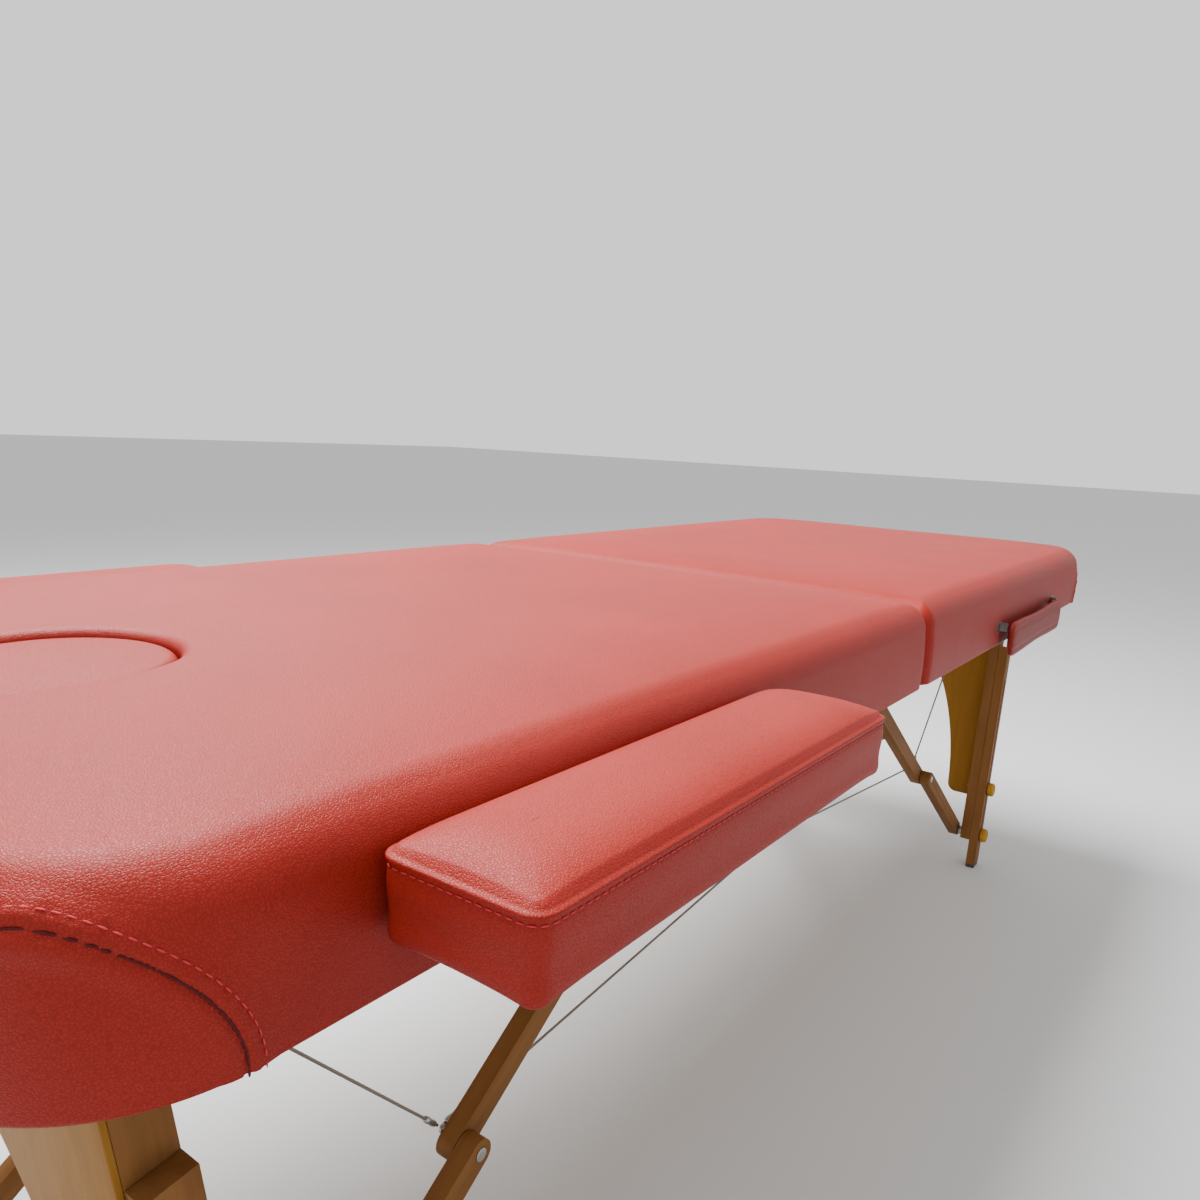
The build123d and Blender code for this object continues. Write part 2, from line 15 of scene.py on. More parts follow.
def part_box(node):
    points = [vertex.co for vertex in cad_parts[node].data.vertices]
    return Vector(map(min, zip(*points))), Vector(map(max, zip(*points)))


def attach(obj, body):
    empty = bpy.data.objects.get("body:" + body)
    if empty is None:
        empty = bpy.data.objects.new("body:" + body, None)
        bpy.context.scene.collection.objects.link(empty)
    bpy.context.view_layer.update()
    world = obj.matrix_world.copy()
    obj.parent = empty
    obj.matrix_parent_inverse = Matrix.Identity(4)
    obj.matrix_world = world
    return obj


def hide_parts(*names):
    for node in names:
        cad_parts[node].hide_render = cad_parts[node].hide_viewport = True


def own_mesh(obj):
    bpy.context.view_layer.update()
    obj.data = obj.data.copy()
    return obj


bl_info = {
    "name": "Portable Massage Table",
    "version": (1, 0, 0),
    "blender": (4, 5, 0),
    "location": "View3D > Sidebar > Massage Table",
    "description": "Upholstered folding table with wooden leg frames, armrests and a face plug",
    "category": "Add Mesh",
}

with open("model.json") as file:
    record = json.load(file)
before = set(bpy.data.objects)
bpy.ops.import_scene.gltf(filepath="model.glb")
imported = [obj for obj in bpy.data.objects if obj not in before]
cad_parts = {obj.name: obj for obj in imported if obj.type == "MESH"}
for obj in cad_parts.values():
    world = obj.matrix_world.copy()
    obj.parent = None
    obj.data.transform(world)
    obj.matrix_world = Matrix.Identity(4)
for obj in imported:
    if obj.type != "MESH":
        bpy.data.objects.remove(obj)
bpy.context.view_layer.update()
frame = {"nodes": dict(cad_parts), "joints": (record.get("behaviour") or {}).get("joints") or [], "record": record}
NODES = frame["nodes"]
RECORD = frame["record"]
BODY_OF = {node: body for body, nodes in RECORD["behaviour"]["bodies"].items() for node in nodes}
JOINTS = {joint["name"]: joint for joint in frame["joints"]}
HALVES = {"head": -1, "foot": 1}
SIDES = {"left": 1, "right": -1}


def corners(node):
    """Lowest and highest corner of a CAD node, as vectors."""
    low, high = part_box(node)
    return Vector(low), Vector(high)


# ---- settings -----------------------------------------------------------------------------
def length(name, description, default):
    """A length property in metres."""
    return bpy.props.FloatProperty(
        name=name, description=description, default=default, unit="LENGTH", precision=4
    )


def colour(name, description, default):
    """A linear colour property."""
    return bpy.props.FloatVectorProperty(
        name=name, description=description, default=default, subtype="COLOR", size=3, min=0.0, max=1.0
    )


class UpholsterySettings(bpy.types.PropertyGroup):
    """Sizes and colours of the vinyl, its foam shape and its thread."""

    edge_radius: length("Edge radius", "Rounding between the top and the sides", 0.030)
    crown: length("Crown", "How far the middle of each pad rises above its rim", 0.0075)
    skin: length("Vinyl thickness", "Thickness of the vinyl with its backing", 0.0012)
    grain: length("Grain size", "Width of one pebble of the grain", 0.0016)
    patch_reach: length("Corner patch reach", "Half the width of a corner patch along the bottom edge", 0.083)
    patch_height: length("Corner patch height", "From the bottom edge to the top of the patch seam", 0.0785)
    patch_shift: length("Corner patch shift", "How far a patch sits from its corner towards the end", 0.010)
    stitch_offset: length("Topstitch offset", "From the patch seam to its row of topstitching", 0.0075)
    stitch_pitch: length("Stitch pitch", "Distance between stitches", 0.0056)
    stitch_length: length("Stitch length", "Visible length of one stitch", 0.0042)
    thread: length("Thread thickness", "Thickness of the sewing thread", 0.0009)
    vinyl: colour("Vinyl", "Main colour of the vinyl", (0.245, 0.0110, 0.0058))
    # The grain colour below is painted shade: it darkens the creases between the pebbles.
    vinyl_crease_shade: colour("Vinyl shade", "Colour deep in the grain", (0.090, 0.0032, 0.0018))
    thread_colour: colour("Thread", "Colour of the topstitching", (0.42, 0.022, 0.035))


class WoodSettings(bpy.types.PropertyGroup):
    """Colours and edge rounding of the wooden frame."""

    ease: length("Eased edge", "Rounding of the planks' long edges", 0.002)
    beech: colour("Beech", "Lacquered frame wood", (0.190, 0.084, 0.026))
    beech_dark: colour("Beech grain", "Darker streaks of the frame wood", (0.125, 0.050, 0.015))
    panel: colour("Panel", "Lacquered end panels", (0.250, 0.115, 0.016))
    panel_dark: colour("Panel grain", "Darker streaks of the end panels", (0.185, 0.078, 0.010))
    grain_contrast: bpy.props.FloatProperty(
        name="Grain contrast", description="Strength of the grain", default=0.5, subtype="FACTOR", min=0.0, max=1.0
    )
    knob: colour("Knob", "Lacquered knobs", (0.42, 0.215, 0.026))
    knob_dark: colour("Knob grain", "Darker streaks of the knobs", (0.30, 0.140, 0.016))
    ply: colour("Plywood", "Bare deck plywood", (0.50, 0.34, 0.19))
    ply_dark: colour("Plywood grain", "Darker streaks of the plywood", (0.36, 0.22, 0.11))


class HardwareSettings(bpy.types.PropertyGroup):
    """Sizes and colours of the metal, the cables and the rubber."""

    loop: length("Cable loop", "How far a cable runs on into its eye", 0.004)
    cable: length("Cable thickness", "Thickness of the truss cables", 0.0026)
    screw_head: length("Screw head", "Width of a screw head", 0.0078)
    steel: colour("Steel", "Zinc-plated steel", (0.42, 0.42, 0.40))
    # The handle's mounts get a darker, warmer steel than the other hardware.
    dull_steel: colour("Dull steel", "Darkened steel of the handle's mounts", (0.16, 0.13, 0.12))
    cable_colour: colour("Cable", "Coated wire rope", (0.21, 0.165, 0.12))
    rubber: colour("Rubber", "Rubber feet", (0.028, 0.022, 0.018))


class StudioSettings(bpy.types.PropertyGroup):
    """Floor, light and camera."""

    floor: colour("Floor", "Plain studio floor", (0.52, 0.52, 0.52))
    lens: bpy.props.FloatProperty(name="Lens", description="Focal length in millimetres", default=28.885)


SETTINGS = {
    "upholstery": UpholsterySettings,
    "wood": WoodSettings,
    "hardware": HardwareSettings,
    "studio": StudioSettings,
}


def settings(group):
    """The scene's settings of one group."""
    return getattr(bpy.context.scene, f"massage_table_{group}")


# ---- materials ----------------------------------------------------------------------------
class Shader:
    """A new node material with short ways to add and join its nodes."""

    def __init__(self, name):
        self.material = bpy.data.materials.new(name)
        self.material.use_nodes = True
        self.nodes = self.material.node_tree.nodes
        self.links = self.material.node_tree.links
        self.surface = self.nodes["Principled BSDF"]
        self.place = self.add("ShaderNodeTexCoord").outputs["Object"]

    def add(self, kind, inputs=(), **attributes):
        """Adds a node; inputs maps socket names or numbers to values or to other sockets."""
        node = self.nodes.new(kind)
        for key, value in attributes.items():
            setattr(node, key, value)
        for key, value in dict(inputs).items():
            if isinstance(value, bpy.types.NodeSocket):
                self.links.new(value, node.inputs[key])
            else:
                node.inputs[key].default_value = value
        return node

    def math(self, operation, a, b=0.0, clamp=False):
        """One arithmetic node's result."""
        return self.add("ShaderNodeMath", {0: a, 1: b}, operation=operation, use_clamp=clamp).outputs[0]

    def stretched(self, scale, rotation=(0, 0, 0)):
        """Object coordinates turned, then stretched."""
        turned = self.add("ShaderNodeMapping", {"Vector": self.place, "Rotation": rotation}).outputs[0]
        return self.add("ShaderNodeMapping", {"Vector": turned, "Scale": scale}).outputs[0]

    def noise(self, vector, scale, detail=2.0, roughness=0.5):
        """A noise texture's value."""
        inputs = {"Vector": vector, "Scale": scale, "Detail": detail, "Roughness": roughness}
        return self.add("ShaderNodeTexNoise", inputs).outputs["Fac"]

    def ramp(self, value, low, high):
        """Maps low..high to 0..1, smoothly and clamped."""
        inputs = {"Value": value, "From Min": low, "From Max": high}
        return self.add("ShaderNodeMapRange", inputs, interpolation_type="SMOOTHSTEP").outputs[0]

    def mixed(self, amount, a, b):
        """Colour a where amount is 0 and b where it is 1."""
        node = self.nodes.new("ShaderNodeMix")
        node.data_type = "RGBA"
        for socket, value in ((node.inputs[0], amount), (node.inputs[6], a), (node.inputs[7], b)):
            if isinstance(value, bpy.types.NodeSocket):
                self.links.new(value, socket)
            else:
                socket.default_value = value if isinstance(value, float) else (*value[:3], 1.0)
        return node.outputs[2]

    def bump(self, height, strength, distance, normal=None):
        """A bump's normal, laid over another normal if one is given."""
        inputs = {"Height": height, "Strength": strength, "Distance": distance}
        if normal is not None:
            inputs["Normal"] = normal
        return self.add("ShaderNodeBump", inputs).outputs[0]

    def set(self, **inputs):
        """Sets or joins the surface's sockets, written with _ for a space."""
        for key, value in inputs.items():
            socket = self.surface.inputs[key.replace("_", " ")]
            if isinstance(value, bpy.types.NodeSocket):
                self.links.new(value, socket)
            else:
                socket.default_value = value
        return self.material


MATERIALS = {}


def made_once(make):
    """Keeps the material that a maker returns for each set of arguments."""

    def kept(*args):
        key = (make.__name__, *args)
        if key not in MATERIALS:
            MATERIALS[key] = make(*args)
        return MATERIALS[key]

    return kept


@made_once
def vinyl(name, shade=1.0):
    """Pebbled upholstery vinyl with a satin surface and painted shade darkening the creases of its grain; the
    shade argument darkens the whole vinyl.
    """
    look = settings("upholstery")
    s = Shader(name)
    warp = s.add("ShaderNodeTexNoise", {"Vector": s.place, "Scale": 0.45 / look.grain, "Detail": 1.0})
    stray = {0: warp.outputs["Color"], 3: look.grain * 0.9}
    offset = s.add("ShaderNodeVectorMath", stray, operation="SCALE").outputs[0]
    wobbly = s.add("ShaderNodeVectorMath", {0: s.place, 1: offset}, operation="ADD").outputs[0]
    cells = s.add(
        "ShaderNodeTexVoronoi", {"Vector": wobbly, "Scale": 1.0 / look.grain}, feature="DISTANCE_TO_EDGE"
    ).outputs["Distance"]
    pebble = s.ramp(cells, 0.0, 0.22)
    fine = s.noise(s.place, 3200.0, 2.0)
    broad = s.noise(s.place, 7.0, 3.0)
    cloud = s.ramp(broad, 0.3, 0.7)
    bright = tuple(c * shade for c in look.vinyl)
    deep = tuple(c * shade for c in look.vinyl_crease_shade)
    worn = tuple(min(1.0, c * 1.10 + 0.004) for c in bright)
    body = s.mixed(cloud, bright, worn)
    # Painted shade: the creases between pebbles, low in the relief, are mixed towards the shade colour.
    crease_shaded_colour = s.mixed(s.math("MULTIPLY", s.math("SUBTRACT", 1.0, pebble), 0.35), body, deep)
    fold = s.ramp(s.noise(s.place, 24.0, 4.0, 0.6), 0.35, 0.75)
    relief = s.math("ADD", s.math("MULTIPLY", pebble, 1.0), s.math("MULTIPLY", fine, 0.18))
    swell = s.bump(fold, 0.10, 0.0012)
    normal = s.bump(relief, 0.55, 0.00024, swell)
    rough = s.math("ADD", s.math("MULTIPLY", pebble, -0.07), 0.46)
    return s.set(
        Base_Color=crease_shaded_colour,
        Roughness=s.math("ADD", rough, s.math("MULTIPLY", cloud, 0.05)),
        Normal=normal,
        Specular_IOR_Level=0.13,
    )


@made_once
def thread(name, darken):
    """Twisted sewing thread."""
    look = settings("upholstery")
    s = Shader(name)
    strands = s.noise(s.stretched((1.0, 1.0, 2.0)), 2600.0, 1.0)
    base = tuple(c * darken for c in look.thread_colour)
    light = tuple(min(1.0, c * 1.35) for c in base)
    return s.set(
        Base_Color=s.mixed(s.ramp(strands, 0.35, 0.65), base, light),
        Roughness=0.6,
        Normal=s.bump(strands, 0.4, 0.0002),
        Specular_IOR_Level=0.2,
    )


@made_once
def wood(name, tone, lean):
    """Lacquered wood with its grain lean degrees up from +X, or along Y where lean is None."""
    look = settings("wood")
    light, dark = tuple(getattr(look, tone)), tuple(getattr(look, f"{tone}_dark"))
    s = Shader(name)
    turn = (0.0, 0.0, -math.pi / 2) if lean is None else (0.0, math.radians(lean), 0.0)
    along = s.stretched((1.0, 11.0, 11.0), turn)
    drift = s.math("MULTIPLY", s.noise(along, 1.6, 2.0), 0.5)
    sideways = s.add("ShaderNodeCombineXYZ", {0: 0.0, 1: drift, 2: drift}).outputs[0]
    warped = s.add("ShaderNodeVectorMath", {0: along, 1: sideways}, operation="ADD").outputs[0]
    bands = s.ramp(s.noise(warped, 6.0, 4.0, 0.55), 0.36, 0.66)
    fibre = s.noise(along, 60.0, 3.0, 0.6)
    flecks = s.noise(s.stretched((14.0, 100.0, 100.0), turn), 9.0, 1.0)
    pale = tuple(min(1.0, c * 1.35 + 0.01) for c in light)
    tint = s.mixed(s.math("MULTIPLY", bands, look.grain_contrast), light, dark)
    tint = s.mixed(s.math("MULTIPLY", s.ramp(fibre, 0.45, 0.75), 0.25), tint, dark)
    tint = s.mixed(s.math("MULTIPLY", s.ramp(flecks, 0.62, 0.78), 0.15), tint, pale)
    return s.set(
        Base_Color=tint,
        Roughness=s.math("ADD", 0.50, s.math("MULTIPLY", fibre, 0.12)),
        Normal=s.bump(fibre, 0.10, 0.0003),
        Specular_IOR_Level=0.08,
    )


@made_once
def metal(name, tone, roughness):
    """Plated steel with fine brushing and faint tarnish."""
    look = settings("hardware")
    base = tuple(getattr(look, tone))
    s = Shader(name)
    brushed = s.noise(s.stretched((1.0, 18.0, 1.0)), 240.0, 2.0)
    tarnish = s.ramp(s.noise(s.place, 60.0, 3.0), 0.4, 0.75)
    dull = tuple(c * 0.72 for c in base)
    return s.set(
        Base_Color=s.mixed(s.math("MULTIPLY", tarnish, 0.5), base, dull),
        Metallic=1.0,
        Roughness=s.math("ADD", roughness, s.math("MULTIPLY", brushed, 0.15)),
        Normal=s.bump(brushed, 0.08, 0.0002),
    )


@made_once
def wire_rope(name):
    """Plastic-coated wire rope whose strands show through, with painted shade in the grooves between them."""
    look = settings("hardware")
    base = tuple(look.cable_colour)
    s = Shader(name)
    uv = s.add("ShaderNodeUVMap", uv_map="rope").outputs[0]
    split = s.add("ShaderNodeSeparateXYZ", {0: uv})
    strands, pitch = 6, 900.0
    round_ = s.math("MULTIPLY", split.outputs[0], 6.2832 * strands)
    lay = s.math("SINE", s.math("ADD", round_, s.math("MULTIPLY", split.outputs[1], pitch)))
    # Painted shade: the grooves between strands, low in the bump, are darkened.
    dark = tuple(c * 0.45 for c in base)
    return s.set(
        Base_Color=s.mixed(s.ramp(lay, -0.9, 0.6), dark, base),
        Roughness=0.45,
        Normal=s.bump(lay, 0.5, 0.0003),
        Coat_Weight=0.25,
        Coat_Roughness=0.3,
    )


@made_once
def rubber(name):
    """Moulded rubber with a little bloom."""
    base = tuple(settings("hardware").rubber)
    s = Shader(name)
    speck = s.noise(s.place, 900.0, 2.0)
    bloom = s.ramp(s.noise(s.place, 45.0, 3.0), 0.45, 0.8)
    pale = tuple(c * 2.4 + 0.01 for c in base)
    return s.set(
        Base_Color=s.mixed(s.math("MULTIPLY", bloom, 0.5), base, pale),
        Roughness=s.math("ADD", 0.62, s.math("MULTIPLY", speck, 0.15)),
        Normal=s.bump(speck, 0.25, 0.0002),
    )


# ---- making pieces ------------------------------------------------------------------------
def piece_from(name, verts, faces, material):
    """A new mesh piece at the origin."""
    mesh = bpy.data.meshes.new(name)
    mesh.from_pydata([tuple(v) for v in verts], [], faces)
    mesh.materials.append(material)
    mesh.shade_smooth()
    mesh.update()
    piece = bpy.data.objects.new(name, mesh)
    bpy.context.collection.objects.link(piece)
    return piece


def outward(piece):
    """Turns every face of a closed mesh outwards."""
    shape = bmesh.new()
    shape.from_mesh(piece.data)
    bmesh.ops.remove_doubles(shape, verts=shape.verts, dist=1e-6)
    bmesh.ops.recalc_face_normals(shape, faces=shape.faces)
    shape.to_mesh(piece.data)
    shape.free()


def stand_in(piece, *nodes):
    """Rides on the nodes' body and stands for them, hiding them."""
    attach(piece, BODY_OF[nodes[0]])
    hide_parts(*nodes)
    return piece


def eased(node, width, material):
    """A copy of a CAD node with its flat faces joined and its edges rounded."""
    mesh = NODES[node].data.copy()
    mesh.materials.clear()
    mesh.materials.append(material)
    shape = bmesh.new()
    shape.from_mesh(mesh)
    bmesh.ops.remove_doubles(shape, verts=shape.verts, dist=2e-6)
    bmesh.ops.dissolve_limit(shape, angle_limit=math.radians(1.5), verts=shape.verts, edges=shape.edges)
    shape.to_mesh(mesh)
    shape.free()
    mesh.shade_smooth()
    piece = bpy.data.objects.new(f"{node}_eased", mesh)
    bpy.context.collection.objects.link(piece)
    bevel = piece.modifiers.new("rounded edges", "BEVEL")
    bevel.width = width
    bevel.segments = 3
    bevel.limit_method = "ANGLE"
    bevel.angle_limit = math.radians(38)
    bevel.harden_normals = True
    return stand_in(piece, node)


def loft(rings, close_start=False, close_end=False):
    """Vertices and faces through rings of equal count, all running the same way round."""
    count = len(rings[0])
    verts = [point for ring in rings for point in ring]
    faces = []
    for r in range(len(rings) - 1):
        for k in range(count):
            n = (k + 1) % count
            faces.append((r * count + k, r * count + n, (r + 1) * count + n, (r + 1) * count + k))
    for wanted, start, flip in ((close_start, 0, True), (close_end, (len(rings) - 1) * count, False)):
        if wanted:
            middle = sum((Vector(verts[start + k]) for k in range(count)), Vector()) / count
            verts.append(middle)
            hub = len(verts) - 1
            for k in range(count):
                n = (k + 1) % count
                a, b = (start + n, start + k) if flip else (start + k, start + n)
                faces.append((a, b, hub))
    return verts, faces


class Outline:
    """A rectangle in plan with a radius of its own at each corner, as rings of matching points."""

    def __init__(self, low, high, radii, arc_step=0.004, line_step=0.014):
        self.low, self.high, self.radii = low, high, radii
        self.signs = ((1, -1), (1, 1), (-1, 1), (-1, -1))
        self.arc_counts = [max(6, round(r * math.pi / 2 / arc_step)) for r in radii]
        self.line_step = line_step
        self.line_counts = []
        spans = (high[1] - low[1], high[0] - low[0]) * 2
        for k, span in enumerate(spans):
            free = span - radii[k] - radii[(k + 1) % 4]
            self.line_counts.append(max(2, round(free / line_step)))

    def corner(self, k, inset):
        """Centre and radius of one corner's arc at an inset."""
        radius = max(self.radii[k] - inset, 0.0008)
        sx, sy = self.signs[k]
        edge_x = (self.high[0] - inset) if sx > 0 else (self.low[0] + inset)
        edge_y = (self.high[1] - inset) if sy > 0 else (self.low[1] + inset)
        return Vector((edge_x - sx * radius, edge_y - sy * radius)), radius

    def ring(self, inset):
        """Points round the outline, moved inwards by inset, starting at the -Y end of the +X side."""
        points = []
        for k in range(4):
            centre, radius = self.corner(k, inset)
            start = -math.pi / 2 + k * math.pi / 2
            for j in range(self.arc_counts[k] + 1):
                angle = start + j * math.pi / 2 / self.arc_counts[k]
                points.append(centre + radius * Vector((math.cos(angle), math.sin(angle))))
            after, after_radius = self.corner((k + 1) % 4, inset)
            end_angle = start + math.pi / 2
            across = Vector((math.cos(end_angle), math.sin(end_angle)))
            a, b = centre + radius * across, after + after_radius * across
            for j in range(1, self.line_counts[k]):
                points.append(a.lerp(b, j / self.line_counts[k]))
        return points

    def reach(self, wanted):
        """Distance along the full outline from the middle of one corner's arc, for each point."""
        points = self.ring(0.0)
        count = len(points)
        first = 0
        for k in range(wanted):
            first += self.arc_counts[k] + self.line_counts[k]
        middle = first + self.arc_counts[wanted] // 2
        steps = [(points[(k + 1) % count] - points[k]).length for k in range(count)]
        total = sum(steps)
        reach = [0.0] * count
        travelled = 0.0
        for j in range(count):
            index = (middle + j) % count
            reach[index] = travelled if travelled <= total / 2 else travelled - total
            travelled += steps[index]
        return reach


def oval(centre_x, half_long, half_wide, directions):
    """Points round a stadium that runs along X, one for each given direction from its middle."""
    straight = half_long - half_wide
    points = []
    for direction in directions:
        angle = math.atan2(direction.y, direction.x)
        dx, dy = math.cos(angle), math.sin(angle)
        reach = half_wide / max(abs(dy), 1e-6)
        if reach * abs(dx) > straight:
            side = math.copysign(straight, dx)
            b = dx * side
            reach = b + math.sqrt(max(b * b - (straight * straight - half_wide * half_wide), 0.0))
        points.append(Vector((centre_x + reach * dx, reach * dy)))
    return points


def settled(distance, span):
    """Rises from 0 at the rim to 1 at span inwards, levelling off smoothly."""
    t = min(max(distance / span, 0.0), 1.0)
    return 1.0 - (1.0 - t) ** 3


# ---- the padded top -----------------------------------------------------------------------
class TopShape:
    """The upholstered shape of one half: its outline, its profile and its height in plan."""

    crown_span = 0.16
    side_bulge = 0.0012
    patch_bow = 1.7
    swell = 0.0009
    side_unevenness = 0.0005
    sewing_reach = 0.03
    raised_height = 0.0019
    fold_depth = 0.0021

    def __init__(self, half):
        look = settings("upholstery")
        low, high = corners(f"{half}_cover")
        self.s = HALVES[half]
        self.low, self.high = low, high
        outer, inner = 0.100, 0.018
        radii = (outer, outer, inner, inner) if self.s > 0 else (inner, inner, outer, outer)
        self.outer_corners = (0, 1) if self.s > 0 else (2, 3)
        self.outline = Outline(low, high, radii, arc_step=0.0018)
        self.edge = look.edge_radius
        self.crown = look.crown
        self.side = high.z - self.edge - low.z
        self.patch_reach, self.patch_height = look.patch_reach, look.patch_height
        self.patch_shift = look.patch_shift
        self.stitch_offset = look.stitch_offset

    def profile(self, h):
        """Inset, height and outward tilt at a distance h up the side and over the edge."""
        if h <= self.side:
            bulge = self.side_bulge * math.sin(math.pi * max(h, 0.0) / self.side)
            return -bulge, self.low.z + h, 0.0
        angle = min((h - self.side) / self.edge, math.pi / 2)
        over = max(h - self.side - self.edge * math.pi / 2, 0.0)
        inset = self.edge * (1.0 - math.cos(angle)) + over
        return inset, self.low.z + self.side + self.edge * math.sin(angle), angle

    def lift(self, x, y):
        """How far the crown and the foam's slow swells raise the top at a place in plan."""
        edges = (x - self.low.x, self.high.x - x, y - self.low.y, self.high.y - y)
        share = 1.0
        for distance in edges:
            share *= settled(distance - self.edge * 0.5, self.crown_span)
        broad = noise.noise(Vector((x * 7.0, y * 7.0, self.s)))
        close = noise.noise(Vector((x * 17.0, y * 17.0, 5.0)))
        return self.crown * share + self.swell * share * (broad + 0.5 * close)

    def side_swell(self, place):
        """Slow unevenness of the vinyl pulled round the sides."""
        return self.side_unevenness * noise.noise(Vector((place.x * 16.0, place.y * 16.0, self.s * 4.0)))

    def seam_distance(self, long_reach, h):
        """Signed distance from the corner patch's seam; inside the patch it is negative."""
        across = abs(long_reach + self.patch_shift) / self.patch_reach
        up = max(h, 0.0) / self.patch_height
        around = (across**self.patch_bow + up**self.patch_bow) ** (1.0 / self.patch_bow)
        return (around - 1.0) * (self.patch_reach + self.patch_height) / 2

    def long_side(self, corner):
        """1 where going anticlockwise from a corner's middle leads to the long side, otherwise -1."""
        return 1 if corner % 2 else -1

    def seam_point(self, corner, angle, offset, out):
        """Point of the patch seam, or of a row beside it; the angle runs from 0 to pi."""
        scale = 1.0 + 2.0 * offset / (self.patch_reach + self.patch_height)
        power = 2.0 / self.patch_bow
        across = math.copysign(abs(math.cos(angle)) ** power, math.cos(angle)) * self.patch_reach * scale
        h = abs(math.sin(angle)) ** power * self.patch_height * scale
        return self.place(corner, (across - self.patch_shift) * self.long_side(corner), h, out)

    def sewn(self, long_reach, h):
        """How far sewing moves the surface out, near a corner patch."""
        distance = self.seam_distance(long_reach, h)
        if abs(distance) > self.sewing_reach:
            return 0.0
        along = math.atan2(h / self.patch_height, (long_reach + self.patch_shift) / self.patch_reach)
        pucker = math.sin(along * 30.0 + 0.8 * math.sin(along * 7.0))
        pucker += 0.7 * math.sin(along * 51.0 + 1.3)
        raised = self.raised_height * math.exp(-((distance / 0.012) ** 4))
        fold = -self.fold_depth * math.exp(-((distance / 0.0014) ** 2))
        swell = 0.0006 * math.exp(-(((distance - 0.0042) / 0.0026) ** 2))
        dent = -0.0007 * math.exp(-(((distance - self.stitch_offset) / 0.0013) ** 2))
        gathers = 0.00035 * pucker * math.exp(-(((distance - 0.0045) / 0.004) ** 2))
        return raised + fold + swell + dent + gathers

    def place(self, corner, reach, h, out=0.0):
        """Point on the surface by its reach from a corner's middle and its distance h up."""
        inset, z, tilt = self.profile(h)
        centre, radius = self.outline.corner(corner, 0.0)
        middle = -math.pi / 4 + corner * math.pi / 2
        half_arc = math.pi / 4
        angle = middle + reach / radius
        beyond = 0.0
        if abs(reach) > half_arc * radius:
            beyond = abs(reach) - half_arc * radius
            angle = middle + math.copysign(half_arc, reach)
        across = Vector((math.cos(angle), math.sin(angle)))
        run = Vector((-across.y, across.x)) * math.copysign(beyond, reach)
        point = centre + across * (radius - inset + out * math.cos(tilt)) + run
        return Vector((point.x, point.y, z + self.lift(point.x, point.y) + out * math.sin(tilt)))


